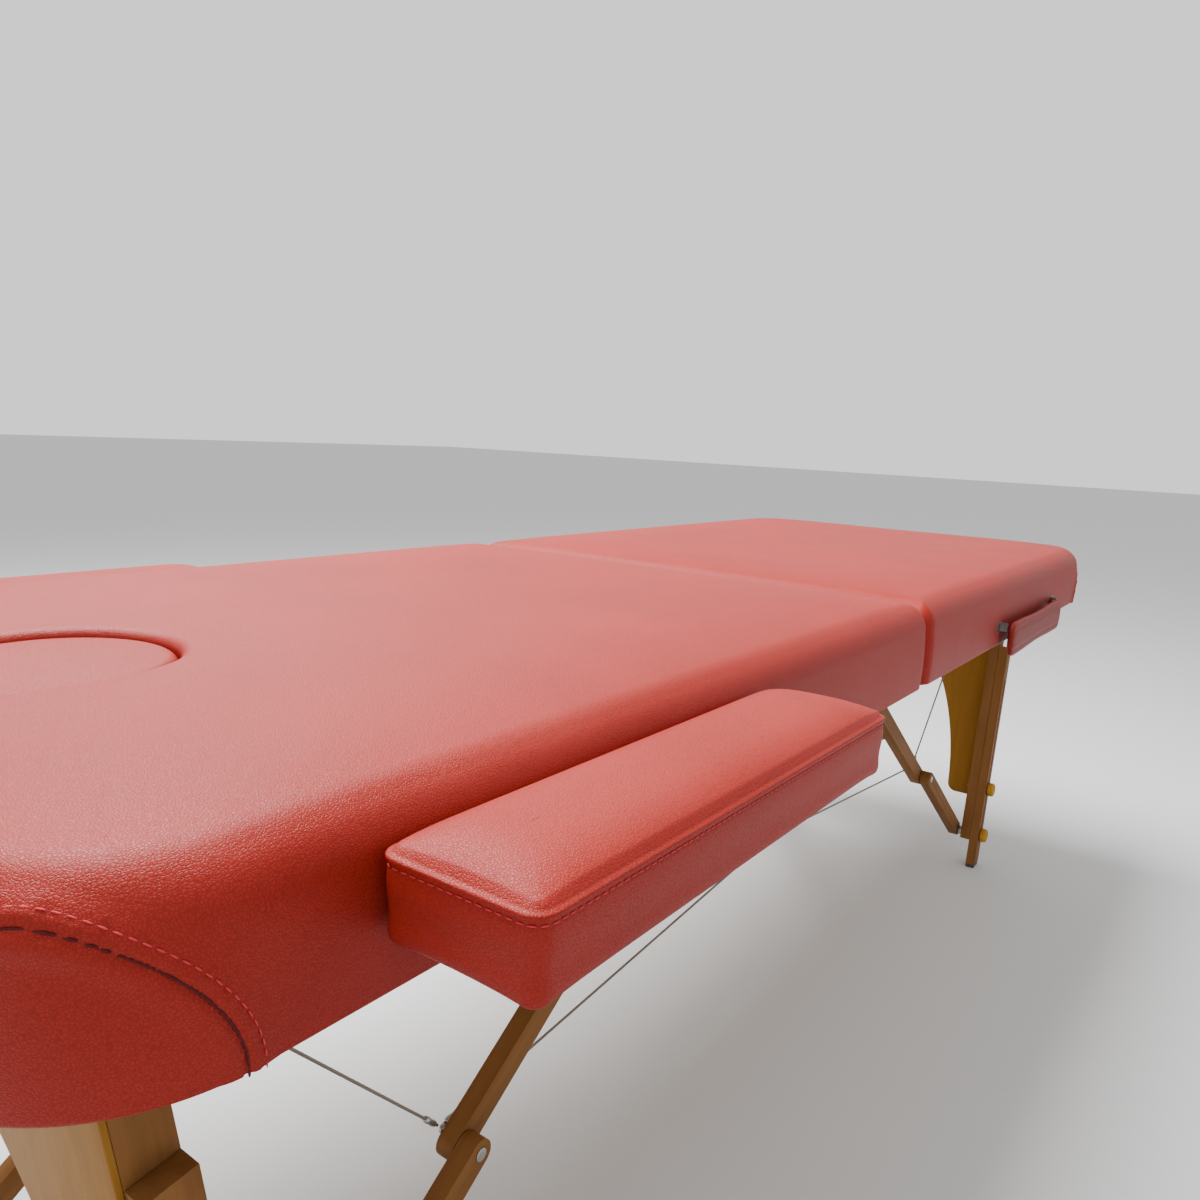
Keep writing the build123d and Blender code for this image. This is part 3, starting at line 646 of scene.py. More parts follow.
def make_cover(half):
    """Padded vinyl cover of one half, with its corner patches pulled in along their seams."""
    look = settings("upholstery")
    top = TopShape(half)
    plug_low, plug_high = corners("face_plug_pad")
    arc = top.edge * math.pi / 2
    heights = [top.side * k / 38 for k in range(39)]
    heights += [top.side + arc * k / 18 for k in range(1, 19)]
    reaches = [[top.long_side(k) * r for r in top.outline.reach(k)] for k in top.outer_corners]
    lip = ((0.020, -0.0022), (0.004, -0.0023), (0.0008, -0.0012))
    rings = []
    for inset, drop in lip:
        rings.append([Vector((p.x, p.y, top.low.z + drop)) for p in top.outline.ring(inset)])
    for h in heights:
        inset, z, tilt = top.profile(h)
        ring, moved = top.outline.ring(inset), []
        further = top.outline.ring(inset - 0.001)
        for k, (p, q) in enumerate(zip(ring, further)):
            out = sum(top.sewn(reach[k], h) for reach in reaches)
            out += top.side_swell(p) * math.sin(math.pi * min(h / top.side, 1.0))
            normal = (q - p).normalized()
            place = p + normal * out * math.cos(tilt)
            moved.append(Vector((place.x, place.y, z + out * math.sin(tilt) + top.lift(p.x, p.y))))
        rings.append(moved)
    base = top.low.z + top.side + top.edge
    insets = [top.edge + step for step in (0.003, 0.007, 0.013, 0.022)] + [0.064, 0.078, 0.09, 0.105]
    for inset in insets:
        h = top.side + arc + inset - top.edge
        moved = []
        for k, p in enumerate(top.outline.ring(inset)):
            out = sum(top.sewn(reach[k], h) for reach in reaches)
            moved.append(Vector((p.x, p.y, base + top.lift(p.x, p.y) + out)))
        rings.append(moved)
    rim = top.outline.ring(insets[-1])
    if half == "head":
        middle = (plug_low.x + plug_high.x) / 2
        half_long = (plug_high.x - plug_low.x) / 2
        half_wide = (plug_high.y - plug_low.y) / 2
        around = [p - Vector((middle, 0.0)) for p in rim]
        mouth = oval(middle, half_long + 0.012, half_wide + 0.012, around)
        steps = 26
    else:
        middle = (top.low.x + top.high.x) / 2
        around = [p - Vector((middle, 0.0)) for p in rim]
        mouth = [Vector((middle, 0.0)) + d * 0.02 for d in around]
        steps = 22
    for j in range(1, steps + 1):
        t = (j / steps) ** 0.85
        ring = []
        for a, b in zip(rim, mouth):
            p = a.lerp(b, t)
            z = base + top.lift(p.x, p.y)
            if half == "head":
                z -= dimple(p, middle, half_long, half_wide)
            ring.append(Vector((p.x, p.y, z)))
        rings.append(ring)
    if half == "head":
        roll, gap, start = 0.0075, 0.0012, 0.0105
        for j in range(1, 9):
            angle = j * math.pi / 16
            grow = start - (start - gap) * math.sin(angle)
            ring = oval(middle, half_long + grow, half_wide + grow, around)
            drop = base - roll * (1.0 - math.cos(angle))
            sunk = [dimple(p, middle, half_long, half_wide) for p in ring]
            rings.append([Vector((p.x, p.y, drop + top.lift(p.x, p.y) - d)) for p, d in zip(ring, sunk)])
        for depth in (0.014, 0.022, 0.032, 0.042):
            ring = oval(middle, half_long + gap, half_wide + gap, around)
            rings.append([Vector((p.x, p.y, base + 0.003 - depth)) for p in ring])
    verts, faces = loft(rings, close_end=half == "foot")
    cover = piece_from(f"{half}_upholstery", verts, faces, vinyl("red vinyl"))
    solid = cover.modifiers.new("vinyl thickness", "SOLIDIFY")
    solid.thickness = look.skin
    solid.offset = -1.0
    stand_in(cover, f"{half}_cover")
    return cover


def dimple(p, middle, half_long, half_wide):
    """How far the pad sinks around the face hole."""
    straight = half_long - half_wide
    dx = max(abs(p.x - middle) - straight, 0.0)
    distance = max(math.hypot(dx, p.y) - half_wide, 0.0)
    return 0.0022 * math.exp(-distance / 0.022)


class MASSAGE_OT_upholstery(bpy.types.Operator):
    """Makes the padded vinyl covers of both halves"""

    bl_idname = "massage.upholstery"
    bl_label = "Upholstery"

    def execute(self, context):
        for half in HALVES:
            make_cover(half)
            foam = NODES[f"{half}_foam"]
            foam.data.materials.clear()
            foam.data.materials.append(foam_material("seat foam"))
        return {"FINISHED"}


@made_once
def foam_material(name):
    """Open-celled upholstery foam."""
    s = Shader(name)
    cells = s.add("ShaderNodeTexVoronoi", {"Vector": s.place, "Scale": 620.0}).outputs["Distance"]
    patch = s.ramp(s.noise(s.place, 18.0, 3.0), 0.35, 0.7)
    return s.set(
        Base_Color=s.mixed(patch, (0.78, 0.70, 0.46), (0.84, 0.78, 0.58)),
        Roughness=0.95,
        Normal=s.bump(cells, 0.6, 0.0006),
    )


# ---- stitching ----------------------------------------------------------------------------
def add_socket(tree, name, kind, default=None):
    """A named input of a geometry tree, with its default value."""
    socket = tree.interface.new_socket(name, in_out="INPUT", socket_type=kind)
    if default is not None:
        socket.default_value = default
    return socket.identifier


@made_once
def stitch_tree():
    """Geometry nodes that lay stitches end to end along a curve."""
    tree = bpy.data.node_groups.new("Stitch Row", "GeometryNodeTree")
    tree.interface.new_socket("Curve", in_out="INPUT", socket_type="NodeSocketGeometry")
    names = {
        "pitch": add_socket(tree, "Pitch", "NodeSocketFloat", 0.0056),
        "length": add_socket(tree, "Stitch Length", "NodeSocketFloat", 0.0042),
        "thread": add_socket(tree, "Thread", "NodeSocketFloat", 0.0009),
    }
    names["material"] = add_socket(tree, "Material", "NodeSocketMaterial")
    tree.interface.new_socket("Stitches", in_out="OUTPUT", socket_type="NodeSocketGeometry")
    node, join = tree.nodes.new, tree.links.new
    given, result = node("NodeGroupInput"), node("NodeGroupOutput")
    spaced = node("GeometryNodeResampleCurve")
    spaced.mode = "LENGTH"
    join(given.outputs["Curve"], spaced.inputs["Curve"])
    join(given.outputs["Pitch"], spaced.inputs["Length"])
    bead = node("GeometryNodeMeshUVSphere")
    bead.inputs["Segments"].default_value = 8
    bead.inputs["Rings"].default_value = 6
    bead.inputs["Radius"].default_value = 0.5
    size = node("ShaderNodeCombineXYZ")
    join(given.outputs["Thread"], size.inputs[0])
    join(given.outputs["Thread"], size.inputs[1])
    join(given.outputs["Stitch Length"], size.inputs[2])
    aligned = node("FunctionNodeAlignRotationToVector")
    aligned.axis = "Z"
    join(node("GeometryNodeInputTangent").outputs[0], aligned.inputs["Vector"])
    placed = node("GeometryNodeInstanceOnPoints")
    join(spaced.outputs[0], placed.inputs["Points"])
    join(bead.outputs["Mesh"], placed.inputs["Instance"])
    join(aligned.outputs[0], placed.inputs["Rotation"])
    join(size.outputs[0], placed.inputs["Scale"])
    real = node("GeometryNodeRealizeInstances")
    join(placed.outputs[0], real.inputs[0])
    smooth = node("GeometryNodeSetShadeSmooth")
    join(real.outputs[0], smooth.inputs[0])
    coloured = node("GeometryNodeSetMaterial")
    join(smooth.outputs[0], coloured.inputs["Geometry"])
    join(given.outputs["Material"], coloured.inputs["Material"])
    join(coloured.outputs[0], result.inputs[0])
    return tree, names


def stitch_row(name, routes, body, sizes, material, closed=False):
    """One mesh piece of stitches along the given routes; sizes are pitch, length and thickness."""
    curve = bpy.data.curves.new(name, "CURVE")
    curve.dimensions = "3D"
    for route in routes:
        line = curve.splines.new("POLY")
        line.points.add(len(route) - 1)
        for point, place in zip(line.points, route):
            point.co = (*place, 1.0)
        line.use_cyclic_u = closed
    guide = bpy.data.objects.new(f"{name}_guide", curve)
    bpy.context.collection.objects.link(guide)
    tree, names = stitch_tree()
    modifier = guide.modifiers.new("stitches", "NODES")
    modifier.node_group = tree
    for key, size in zip(("pitch", "length", "thread"), sizes):
        modifier[names[key]] = size
    modifier[names["material"]] = material
    return plain_mesh(guide, name, body, material)


def plain_mesh(guide, name, body, material):
    """Turns a guide object's evaluated result into a plain mesh piece and removes the guide."""
    depsgraph = bpy.context.evaluated_depsgraph_get()
    mesh = bpy.data.meshes.new_from_object(guide.evaluated_get(depsgraph), depsgraph=depsgraph)
    bpy.data.objects.remove(guide)
    if not mesh.polygons:
        raise RuntimeError(f"{name} came out empty")
    mesh.materials.clear()
    mesh.materials.append(material)
    piece = bpy.data.objects.new(name, mesh)
    bpy.context.collection.objects.link(piece)
    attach(piece, body)
    return piece


class MASSAGE_OT_corner_seams(bpy.types.Operator):
    """Sews the corner patches: the closed seam and the topstitching beside it"""

    bl_idname = "massage.corner_seams"
    bl_label = "Corner Seams"

    def execute(self, context):
        look = settings("upholstery")
        for half in HALVES:
            top = TopShape(half)
            # name, offset from the seam, height over it, pitch, length, thickness and shade; the seam's shade of
            # 0.13 paints the shadow of its groove onto the beads
            # The patch seam is a real seam, but its beads are darkened to 0.13 as painted shade of the groove
            # along it.
            seam = ("patch_seam", 0.0, 0.0006, 0.0032, 0.0052, 0.0014, 0.13)
            row = (look.stitch_offset, 0.0014, look.stitch_pitch, look.stitch_length, look.thread, 1.0)
            for name, offset, out, pitch, stitch, thick, shade in (seam, ("patch_topstitch", *row)):
                routes = []
                for corner in top.outer_corners:
                    angles = [math.pi * k / 160 for k in range(161)]
                    routes.append([top.seam_point(corner, angle, offset, out) for angle in angles])
                stitch_row(
                    f"{half}_{name}", routes, half, (pitch, stitch, thick), thread(f"{name} thread", shade)
                )
        return {"FINISHED"}


# ---- armrests, plug and handle ------------------------------------------------------------
class MASSAGE_OT_armrests(bpy.types.Operator):
    """Makes the padded armrests with their edge fold and stitching"""

    bl_idname = "massage.armrests"
    bl_label = "Armrests"

    def execute(self, context):
        look = settings("upholstery")
        for side in SIDES:
            low, high = corners(f"{side}_armrest_pad")
            height = high.z - low.z
            outline = Outline(low, high, (0.010,) * 4, arc_step=0.0022, line_step=0.009)
            rim = high.z - 0.0045
            profile = [(0.018, 0.0), (0.006, 0.0002), (0.0022, 0.0010), (0.0008, 0.0028), (0.0, 0.006)]
            for k in range(1, 12):
                t = k / 12
                bow = 0.0006 * math.sin(2 * math.pi * t) - 0.0002
                profile.append((bow, 0.006 + t * (height - 0.016)))
            # the fold at the upper edge, as insets and depths below the top
            profile += [
                (inset, height - depth)
                for inset, depth in (
                    (-0.0004, 0.0108),
                    (0.0004, 0.0095),
                    (-0.0002, 0.0082),
                    (-0.0012, 0.0065),
                    (-0.0016, 0.0052),
                    (-0.0010, 0.0042),
                    (0.0006, 0.0040),
                    (0.0022, 0.0030),
                )
            ]
            rings = []
            for inset, z in profile:
                ring = []
                for p in outline.ring(inset):
                    near = (min(p.x - low.x, high.x - p.x), min(p.y - low.y, high.y - p.y))
                    to_corner = math.hypot(*near)
                    pinch = 0.0035 * math.exp(-to_corner / 0.014) * max(1.0 - z / 0.02, 0.0)
                    ring.append(Vector((p.x, p.y, low.z + z - pinch)))
                rings.append(ring)
            insets = [0.0040, 0.0060, 0.009, 0.013, 0.018, 0.023, 0.029, 0.035, 0.041]
            for inset in insets:
                rings.append([self.crowned(p, low, high, rim) for p in outline.ring(inset)])
            first, final, middle = low.x + 0.047, high.x - 0.047, (low.y + high.y) / 2
            spine = [Vector((min(max(p.x, first), final), middle)) for p in outline.ring(0.044)]
            last = outline.ring(insets[-1])
            for t in (0.35, 0.7, 0.98):
                rings.append([self.crowned(a.lerp(b, t), low, high, rim) for a, b in zip(last, spine)])
            verts, faces = loft(rings, close_start=True, close_end=True)
            pad = piece_from(f"{side}_armrest_cushion", verts, faces, vinyl("red vinyl"))
            outward(pad)
            stand_in(pad, f"{side}_armrest_pad")
            row = [Vector((p.x, p.y, low.z + height - 0.0093)) for p in outline.ring(-0.0002)]
            stitch_row(
                f"{side}_armrest_topstitch",
                [row],
                f"{side}_armrest",
                (look.stitch_pitch, look.stitch_length, look.thread),
                thread("armrest thread", 1.0),
                closed=True,
            )
            eased(f"{side}_armrest_base", 0.0012, wood("armrest board wood", "beech", 0.0))
        return {"FINISHED"}

    @staticmethod
    def crowned(p, low, high, rim):
        """Point of the cushioned top over a place in plan."""
        share = settled(min(p.x - low.x, high.x - p.x), 0.052)
        share *= settled(min(p.y - low.y, high.y - p.y), 0.047)
        return Vector((p.x, p.y, rim + 0.0020 + 0.0105 * share ** 0.8))


class MASSAGE_OT_face_plug(bpy.types.Operator):
    """Makes the padded plug that closes the face hole"""

    bl_idname = "massage.face_plug"
    bl_label = "Face Plug"

    def execute(self, context):
        low, high = corners("face_plug_pad")
        middle = (low.x + high.x) / 2
        half_long, half_wide = (high.x - low.x) / 2, (high.y - low.y) / 2
        count = 160
        angles = [2 * math.pi * k / count for k in range(count)]
        around = [Vector((math.cos(angle), math.sin(angle))) for angle in angles]
        rings = []
        for inset, z in ((0.010, 0.0), (0.002, 0.0004), (0.0004, 0.003), (0.0, 0.012), (0.0, 0.024)):
            ring = oval(middle, half_long - inset, half_wide - inset, around)
            rings.append([Vector((p.x, p.y, low.z + z)) for p in ring])
        roll, shoulder = 0.009, high.z - 0.0075
        for j in range(1, 11):
            angle = j * math.pi / 20
            inset = roll * (1.0 - math.cos(angle))
            ring = oval(middle, half_long - inset, half_wide - inset, around)
            rings.append([Vector((p.x, p.y, shoulder + roll * math.sin(angle))) for p in ring])
        for t in (0.2, 0.4, 0.6, 0.8, 0.95):
            scale = 1.0 - t
            rise = 0.0035 * (1.0 - scale ** 2.2)
            inner = oval(middle, half_long - roll, half_wide - roll, around)
            z = shoulder + roll + rise
            rings.append([Vector((middle + (p.x - middle) * scale, p.y * scale, z)) for p in inner])
        verts, faces = loft(rings, close_start=True, close_end=True)
        plug = piece_from("face_plug_cushion", verts, faces, vinyl("red vinyl"))
        outward(plug)
        stand_in(plug, "face_plug_pad")
        return {"FINISHED"}


class MASSAGE_OT_carry_handle(bpy.types.Operator):
    """Makes the padded carry handle"""

    bl_idname = "massage.carry_handle"
    bl_label = "Carry Handle"

    def execute(self, context):
        low, high = corners("carry_handle")
        pivot = Vector(JOINTS["carry_handle_swing"]["pos_m"])
        strap_back = pivot.y - 0.004
        thick = strap_back - low.y
        middle_z, half_height = (low.z + high.z) / 2, (high.z - low.z) / 2
        rings = []
        slices = 90
        around = 44
        for k in range(slices + 1):
            t = k / slices
            x = low.x + 0.001 + t * (high.x - low.x - 0.002)
            end = min(t, 1 - t) * (high.x - low.x)
            closing = math.sqrt(max(1.0 - (1.0 - min(end / 0.02, 1.0)) ** 2, 0.0)) * 0.55 + 0.45
            grip = 1.0 - 0.10 * math.exp(-(((t - 0.5) / 0.22) ** 2))
            ring = []
            for j in range(around):
                a = 2 * math.pi * j / around
                c, s = math.cos(a), math.sin(a)
                y = math.copysign(abs(c) ** 0.55, c)
                z = math.copysign(abs(s) ** 0.62, s)
                groove = 0.0011 * math.exp(-((abs(z) - 0.62) / 0.07) ** 2) if c < 0 else 0.0
                depth = low.y + thick / 2 * (1.0 + y * closing) + groove
                ring.append(Vector((x, depth, middle_z + half_height * z * closing * grip)))
            rings.append(ring)
        verts, faces = loft(rings, close_start=True, close_end=True)
        handle = piece_from("carry_handle_grip", verts, faces, vinyl("dark red vinyl", 0.75))
        outward(handle)
        stand_in(handle, "carry_handle")
        look = settings("upholstery")
        routes = []
        for up in (-1, 1):
            z = middle_z + up * half_height * 0.62
            start, end = Vector((low.x + 0.02, low.y + 0.0012, z)), Vector((high.x - 0.02, low.y + 0.0012, z))
            routes.append([start.lerp(end, k / 30) for k in range(31)])
        stitch_row(
            "carry_handle_stitching",
            routes,
            "carry_handle",
            (look.stitch_pitch, look.stitch_length, look.thread),
            thread("handle thread", 0.5),
        )
        eased("handle_mounts", 0.0004, metal("dull steel", "dull_steel", 0.40))
        return {"FINISHED"}


# ---- wood and hardware --------------------------------------------------------------------
def slope_of(joint_top, joint_low):
    """Angle in degrees, for wood grain, of the line between two joints."""
    a, b = Vector(JOINTS[joint_top]["pos_m"]), Vector(JOINTS[joint_low]["pos_m"])
    return math.degrees(math.atan2(b.z - a.z, b.x - a.x))


class MASSAGE_OT_rails(bpy.types.Operator):
    """Finishes the rails, the decks and the plug's board"""

    bl_idname = "massage.rails"
    bl_label = "Rails and Decks"

    def execute(self, context):
        ease = settings("wood").ease
        for half in HALVES:
            eased(f"{half}_side_rails", ease, wood("rail wood along", "beech", 0.0))
            eased(f"{half}_hinge_rail", ease, wood("rail wood across", "beech", None))
            eased(f"{half}_end_rail", ease, wood("rail wood across", "beech", None))
            eased(f"{half}_deck", 0.0006, wood("deck plywood", "ply", 0.0))
        eased("face_plug_board", 0.0008, wood("deck plywood", "ply", 0.0))
        return {"FINISHED"}


class MASSAGE_OT_leg_frames(bpy.types.Operator):
    """Finishes the leg planks, the arched end panels, the extensions and their feet"""

    bl_idname = "massage.leg_frames"
    bl_label = "Leg Frames"

    def execute(self, context):
        ease = settings("wood").ease
        for half in HALVES:
            lean = slope_of(f"{half}_leg_fold", f"{half}_lower_brace_fold")
            eased(f"{half}_leg_mains", ease, wood(f"{half} leg wood", "beech", lean))
            eased(f"{half}_leg_panel", 0.0009, wood(f"{half} panel wood", "panel", lean))
            for side in SIDES:
                eased(f"{half}_{side}_extension", ease, wood(f"{half} leg wood", "beech", lean))
                eased(f"{half}_{side}_rubber_foot", 0.0022, rubber("foot rubber"))
        return {"FINISHED"}


class MASSAGE_OT_braces(bpy.types.Operator):
    """Finishes the folding braces"""

    bl_idname = "massage.braces"
    bl_label = "Braces"

    def execute(self, context):
        ease = settings("wood").ease
        for half in HALVES:
            slope = slope_of(f"{half}_upper_brace_fold", f"{half}_lower_brace_fold")
            for part in ("upper_braces", "lower_braces"):
                eased(f"{half}_{part}", ease * 1.5, wood(f"{half} brace wood", "beech", slope))
        return {"FINISHED"}


class MASSAGE_OT_knobs(bpy.types.Operator):
    """Turns the wooden clamping knobs"""

    bl_idname = "massage.knobs"
    bl_label = "Knobs"

    def execute(self, context):
        for half in HALVES:
            for side, t in SIDES.items():
                for level in ("lower", "upper"):
                    self.turn(f"{half}_{side}_{level}_knob", t)
        return {"FINISHED"}

    @staticmethod
    def turn(node, t):
        """A fluted barrel knob with a dished face, round the node's own axis."""
        low, high = corners(node)
        middle = (low + high) / 2
        radius, thick = (high.x - low.x) / 2, high.y - low.y
        start = low.y if t > 0 else high.y
        # shares of the radius and of the thickness, from the back's middle round to the dished face
        back = ((0.24, 0.02), (0.60, 0.0), (0.84, 0.02), (0.93, 0.08), (0.99, 0.22), (1.0, 0.45))
        rim = ((0.99, 0.68), (0.94, 0.86), (0.84, 0.96), (0.70, 1.0))
        dish = ((0.55, 0.985), (0.42, 0.93), (0.30, 0.90), (0.14, 0.89))
        count, flutes = 96, 12
        rings = []
        for share, depth in back + rim + dish:
            ring = []
            for k in range(count):
                angle = 2 * math.pi * k / count
                flute = 0.035 * max(0.0, math.cos(flutes * angle)) ** 2 if 0.93 <= share else 0.0
                r = radius * (share - flute)
                x, z = middle.x + r * math.cos(angle), middle.z + r * math.sin(angle)
                ring.append(Vector((x, start + t * thick * depth, z)))
            rings.append(ring)
        verts, faces = loft(rings, close_start=True, close_end=True)
        knob = piece_from(f"{node}_turned", verts, faces, wood("knob wood", "knob", 0.0))
        outward(knob)
        stand_in(knob, node)


class MASSAGE_OT_hardware(bpy.types.Operator):
    """Finishes the axles, brackets, bolts, hinge and knee plates"""

    bl_idname = "massage.hardware"
    bl_label = "Hardware"

    def execute(self, context):
        plated = metal("plated steel", "steel", 0.32)
        for half in HALVES:
            for part in ("leg_axle", "brace_brackets", "leg_bolts", "knee_plates", "knee_bolts"):
                eased(f"{half}_{part}", 0.0005, plated)
            eased(f"{half}_hinge_leaf", 0.0003, plated)
        eased("hinge_pin", 0.0002, plated)
        return {"FINISHED"}


class MASSAGE_OT_truss_cables(bpy.types.Operator):
    """Makes the taut truss cables with their crimped sleeves"""

    bl_idname = "massage.truss_cables"
    bl_label = "Truss Cables"

    def execute(self, context):
        look = settings("hardware")
        radius = look.cable / 2
        for half in HALVES:
            for number, (side, start, end) in enumerate(cable_runs(half)):
                name = f"{half}_{side}_cable_{number % 3 + 1}"
                cable = self.rope(name, start - (end - start).normalized() * look.loop, end, radius)
                sleeve = self.sleeve(f"{name}_sleeve", start, end, radius)
                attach(cable, half)
                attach(sleeve, half)
                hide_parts(f"{half}_truss_cables")
                for piece in (cable, sleeve):
                    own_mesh(piece)
        return {"FINISHED"}

    @staticmethod
    def rope(name, start, end, radius):
        """A straight rope with a UV map that winds round it."""
        along = (end - start).normalized()
        across = Vector((0, 1, 0))
        third = along.cross(across).normalized()
        count, slices = 14, 60
        rings = []
        for k in range(slices + 1):
            centre = start.lerp(end, k / slices)
            ring = []
            for j in range(count):
                angle = 2 * math.pi * j / count
                ring.append(centre + radius * (across * math.cos(angle) + third * math.sin(angle)))
            rings.append(ring)
        verts, faces = loft(rings, close_start=True, close_end=True)
        rope = piece_from(name, verts, faces, wire_rope("wire rope"))
        layer = rope.data.uv_layers.new(name="rope")
        total = (end - start).length
        for face in rope.data.polygons:
            shares = [(v % count) / count for v in face.vertices]
            wraps = max(shares) - min(shares) > 0.5
            for loop, vertex in zip(face.loop_indices, face.vertices):
                u = (vertex % count) / count
                if wraps and u < 0.5:
                    u += 1.0
                layer.data[loop].uv = (u, (vertex // count) / slices * total)
        outward(rope)
        return rope

    @staticmethod
    def sleeve(name, start, end, radius):
        """The crimped sleeve at the start of a cable."""
        along = (end - start).normalized()
        across = Vector((0, 1, 0))
        third = along.cross(across).normalized()
        first, last = ((0.001, 1.1), (0.0016, 1.9), (0.005, 2.3)), ((0.0165, 1.8), (0.017, 1.1))
        steps = (*first, (0.009, 1.9), (0.013, 2.2), *last)
        rings = []
        for distance, share in steps:
            ring = []
            for j in range(20):
                angle = 2 * math.pi * j / 20
                flat = 1.25 * math.cos(angle) * across + math.sin(angle) * third
                ring.append(start + along * distance + radius * share * flat)
            rings.append(ring)
        verts, faces = loft(rings, close_start=True, close_end=True)
        sleeve = piece_from(name, verts, faces, metal("plated steel", "steel", 0.32))
        outward(sleeve)
        return sleeve


def cable_runs(half):
    """Side, start and end of each straight solid in a half's cable node."""
    mesh = NODES[f"{half}_truss_cables"].data
    shape = bmesh.new()
    shape.from_mesh(mesh)
    bmesh.ops.remove_doubles(shape, verts=shape.verts, dist=2e-6)
    shape.verts.ensure_lookup_table()
    left = set(shape.verts)
    runs = []
    while left:
        seed = left.pop()
        group, queue = [seed], [seed]
        while queue:
            for edge in queue.pop().link_edges:
                for vertex in edge.verts:
                    if vertex in left:
                        left.discard(vertex)
                        group.append(vertex)
                        queue.append(vertex)
        places = [v.co.copy() for v in group]
        near = sorted(places, key=lambda p: p.x)
        count = len(places) // 2
        low = sum(near[:count], Vector()) / count
        high = sum(near[-count:], Vector()) / count
        at_seam = min(abs(low.x), abs(high.x)) < 0.01
        low_first = abs(low.x) > abs(high.x) if at_seam else low.z < high.z
        runs.append((round(low.y, 4), low, high) if low_first else (round(low.y, 4), high, low))
    shape.free()
    runs.sort(key=lambda run: (run[0] < 0, round(run[1].x, 3), round(run[1].z, 3)))
    return [("left" if y > 0 else "right", start, end) for y, start, end in runs]


# ---- small fasteners ----------------------------------------------------------------------
@made_once
def screw_tree():
    """Geometry nodes that set a screw head on every point, facing along its stored direction."""
    tree = bpy.data.node_groups.new("Screw Heads", "GeometryNodeTree")
    tree.interface.new_socket("Points", in_out="INPUT", socket_type="NodeSocketGeometry")
    names = {"head": add_socket(tree, "Head Width", "NodeSocketFloat", 0.0078)}
    names["material"] = add_socket(tree, "Material", "NodeSocketMaterial")
    tree.interface.new_socket("Screws", in_out="OUTPUT", socket_type="NodeSocketGeometry")
    node, join = tree.nodes.new, tree.links.new
    given, result = node("NodeGroupInput"), node("NodeGroupOutput")
    head = node("GeometryNodeMeshCone")
    head.inputs["Vertices"].default_value = 24
    head.inputs["Radius Top"].default_value = 0.34
    head.inputs["Radius Bottom"].default_value = 0.5
    head.inputs["Depth"].default_value = 0.2
    slots = []
    for size in ((0.52, 0.09, 0.16), (0.09, 0.52, 0.16)):
        bar = node("GeometryNodeMeshCube")
        bar.inputs["Size"].default_value = size
        moved = node("GeometryNodeTransform")
        moved.inputs["Translation"].default_value = (0.0, 0.0, 0.2)
        join(bar.outputs["Mesh"], moved.inputs["Geometry"])
        slots.append(moved)
    cut = node("GeometryNodeMeshBoolean")
    cut.operation = "DIFFERENCE"
    join(head.outputs["Mesh"], cut.inputs["Mesh 1"])
    for moved in slots:
        join(moved.outputs[0], cut.inputs["Mesh 2"])
    facing = node("GeometryNodeInputNamedAttribute")
    facing.data_type = "FLOAT_VECTOR"
    facing.inputs["Name"].default_value = "facing"
    aligned = node("FunctionNodeAlignRotationToVector")
    aligned.axis = "Z"
    join(facing.outputs["Attribute"], aligned.inputs["Vector"])
    placed = node("GeometryNodeInstanceOnPoints")
    join(given.outputs["Points"], placed.inputs["Points"])
    join(cut.outputs["Mesh"], placed.inputs["Instance"])
    join(aligned.outputs[0], placed.inputs["Rotation"])
    join(given.outputs["Head Width"], placed.inputs["Scale"])
    real = node("GeometryNodeRealizeInstances")
    join(placed.outputs[0], real.inputs[0])
    coloured = node("GeometryNodeSetMaterial")
    join(real.outputs[0], coloured.inputs["Geometry"])
    join(given.outputs["Material"], coloured.inputs["Material"])
    join(coloured.outputs[0], result.inputs[0])
    return tree, names


def screws(name, body, places):
    """One mesh piece of screw heads at (place, facing) pairs."""
    mesh = bpy.data.meshes.new(name)
    mesh.from_pydata([tuple(place) for place, _ in places], [], [])
    facing = mesh.attributes.new("facing", "FLOAT_VECTOR", "POINT")
    for k, (_, direction) in enumerate(places):
        facing.data[k].vector = direction
    guide = bpy.data.objects.new(f"{name}_guide", mesh)
    bpy.context.collection.objects.link(guide)
    tree, names = screw_tree()
    material = metal("plated steel", "steel", 0.32)
    modifier = guide.modifiers.new("screws", "NODES")
    modifier.node_group = tree
    modifier[names["head"]] = settings("hardware").screw_head
    modifier[names["material"]] = material
    return plain_mesh(guide, name, body, material)


class MASSAGE_OT_fasteners(bpy.types.Operator):
    """Sets the screws of the end panels and of the brace brackets"""

    bl_idname = "massage.fasteners"
    bl_label = "Screws"

    def execute(self, context):
        for half, s in HALVES.items():
            pivot = Vector(JOINTS[f"{half}_leg_fold"]["pos_m"])
            low_pivot = Vector(JOINTS[f"{half}_lower_brace_fold"]["pos_m"])
            down = (low_pivot - pivot).normalized()
            outward_face = Vector((s * -down.z, 0.0, s * down.x))
            panel_width = corners(f"{half}_leg_panel")[1].y
            face, edge_distance, first, spacing = 0.0192, 0.0085, 0.040, 0.115
            places = []
            for t in (1, -1):
                y = t * (panel_width - edge_distance)
                for k in range(4):
                    place = pivot + down * (first + spacing * k) + outward_face * face
                    places.append((Vector((place.x, y, place.z)), outward_face))
            screws(f"{half}_panel_screws", f"{half}_legs", places)
            low, high = corners(f"{half}_brace_brackets")
            middle_x, bracket_y = (low.x + high.x) / 2, 0.1595
            places = []
            for t in (1, -1):
                for dx in (-0.009, 0.009):
                    place = Vector((middle_x + dx, t * bracket_y, high.z - 0.0032))
                    places.append((place, Vector((0, 0, -1))))
            screws(f"{half}_bracket_screws", half, places)
        return {"FINISHED"}


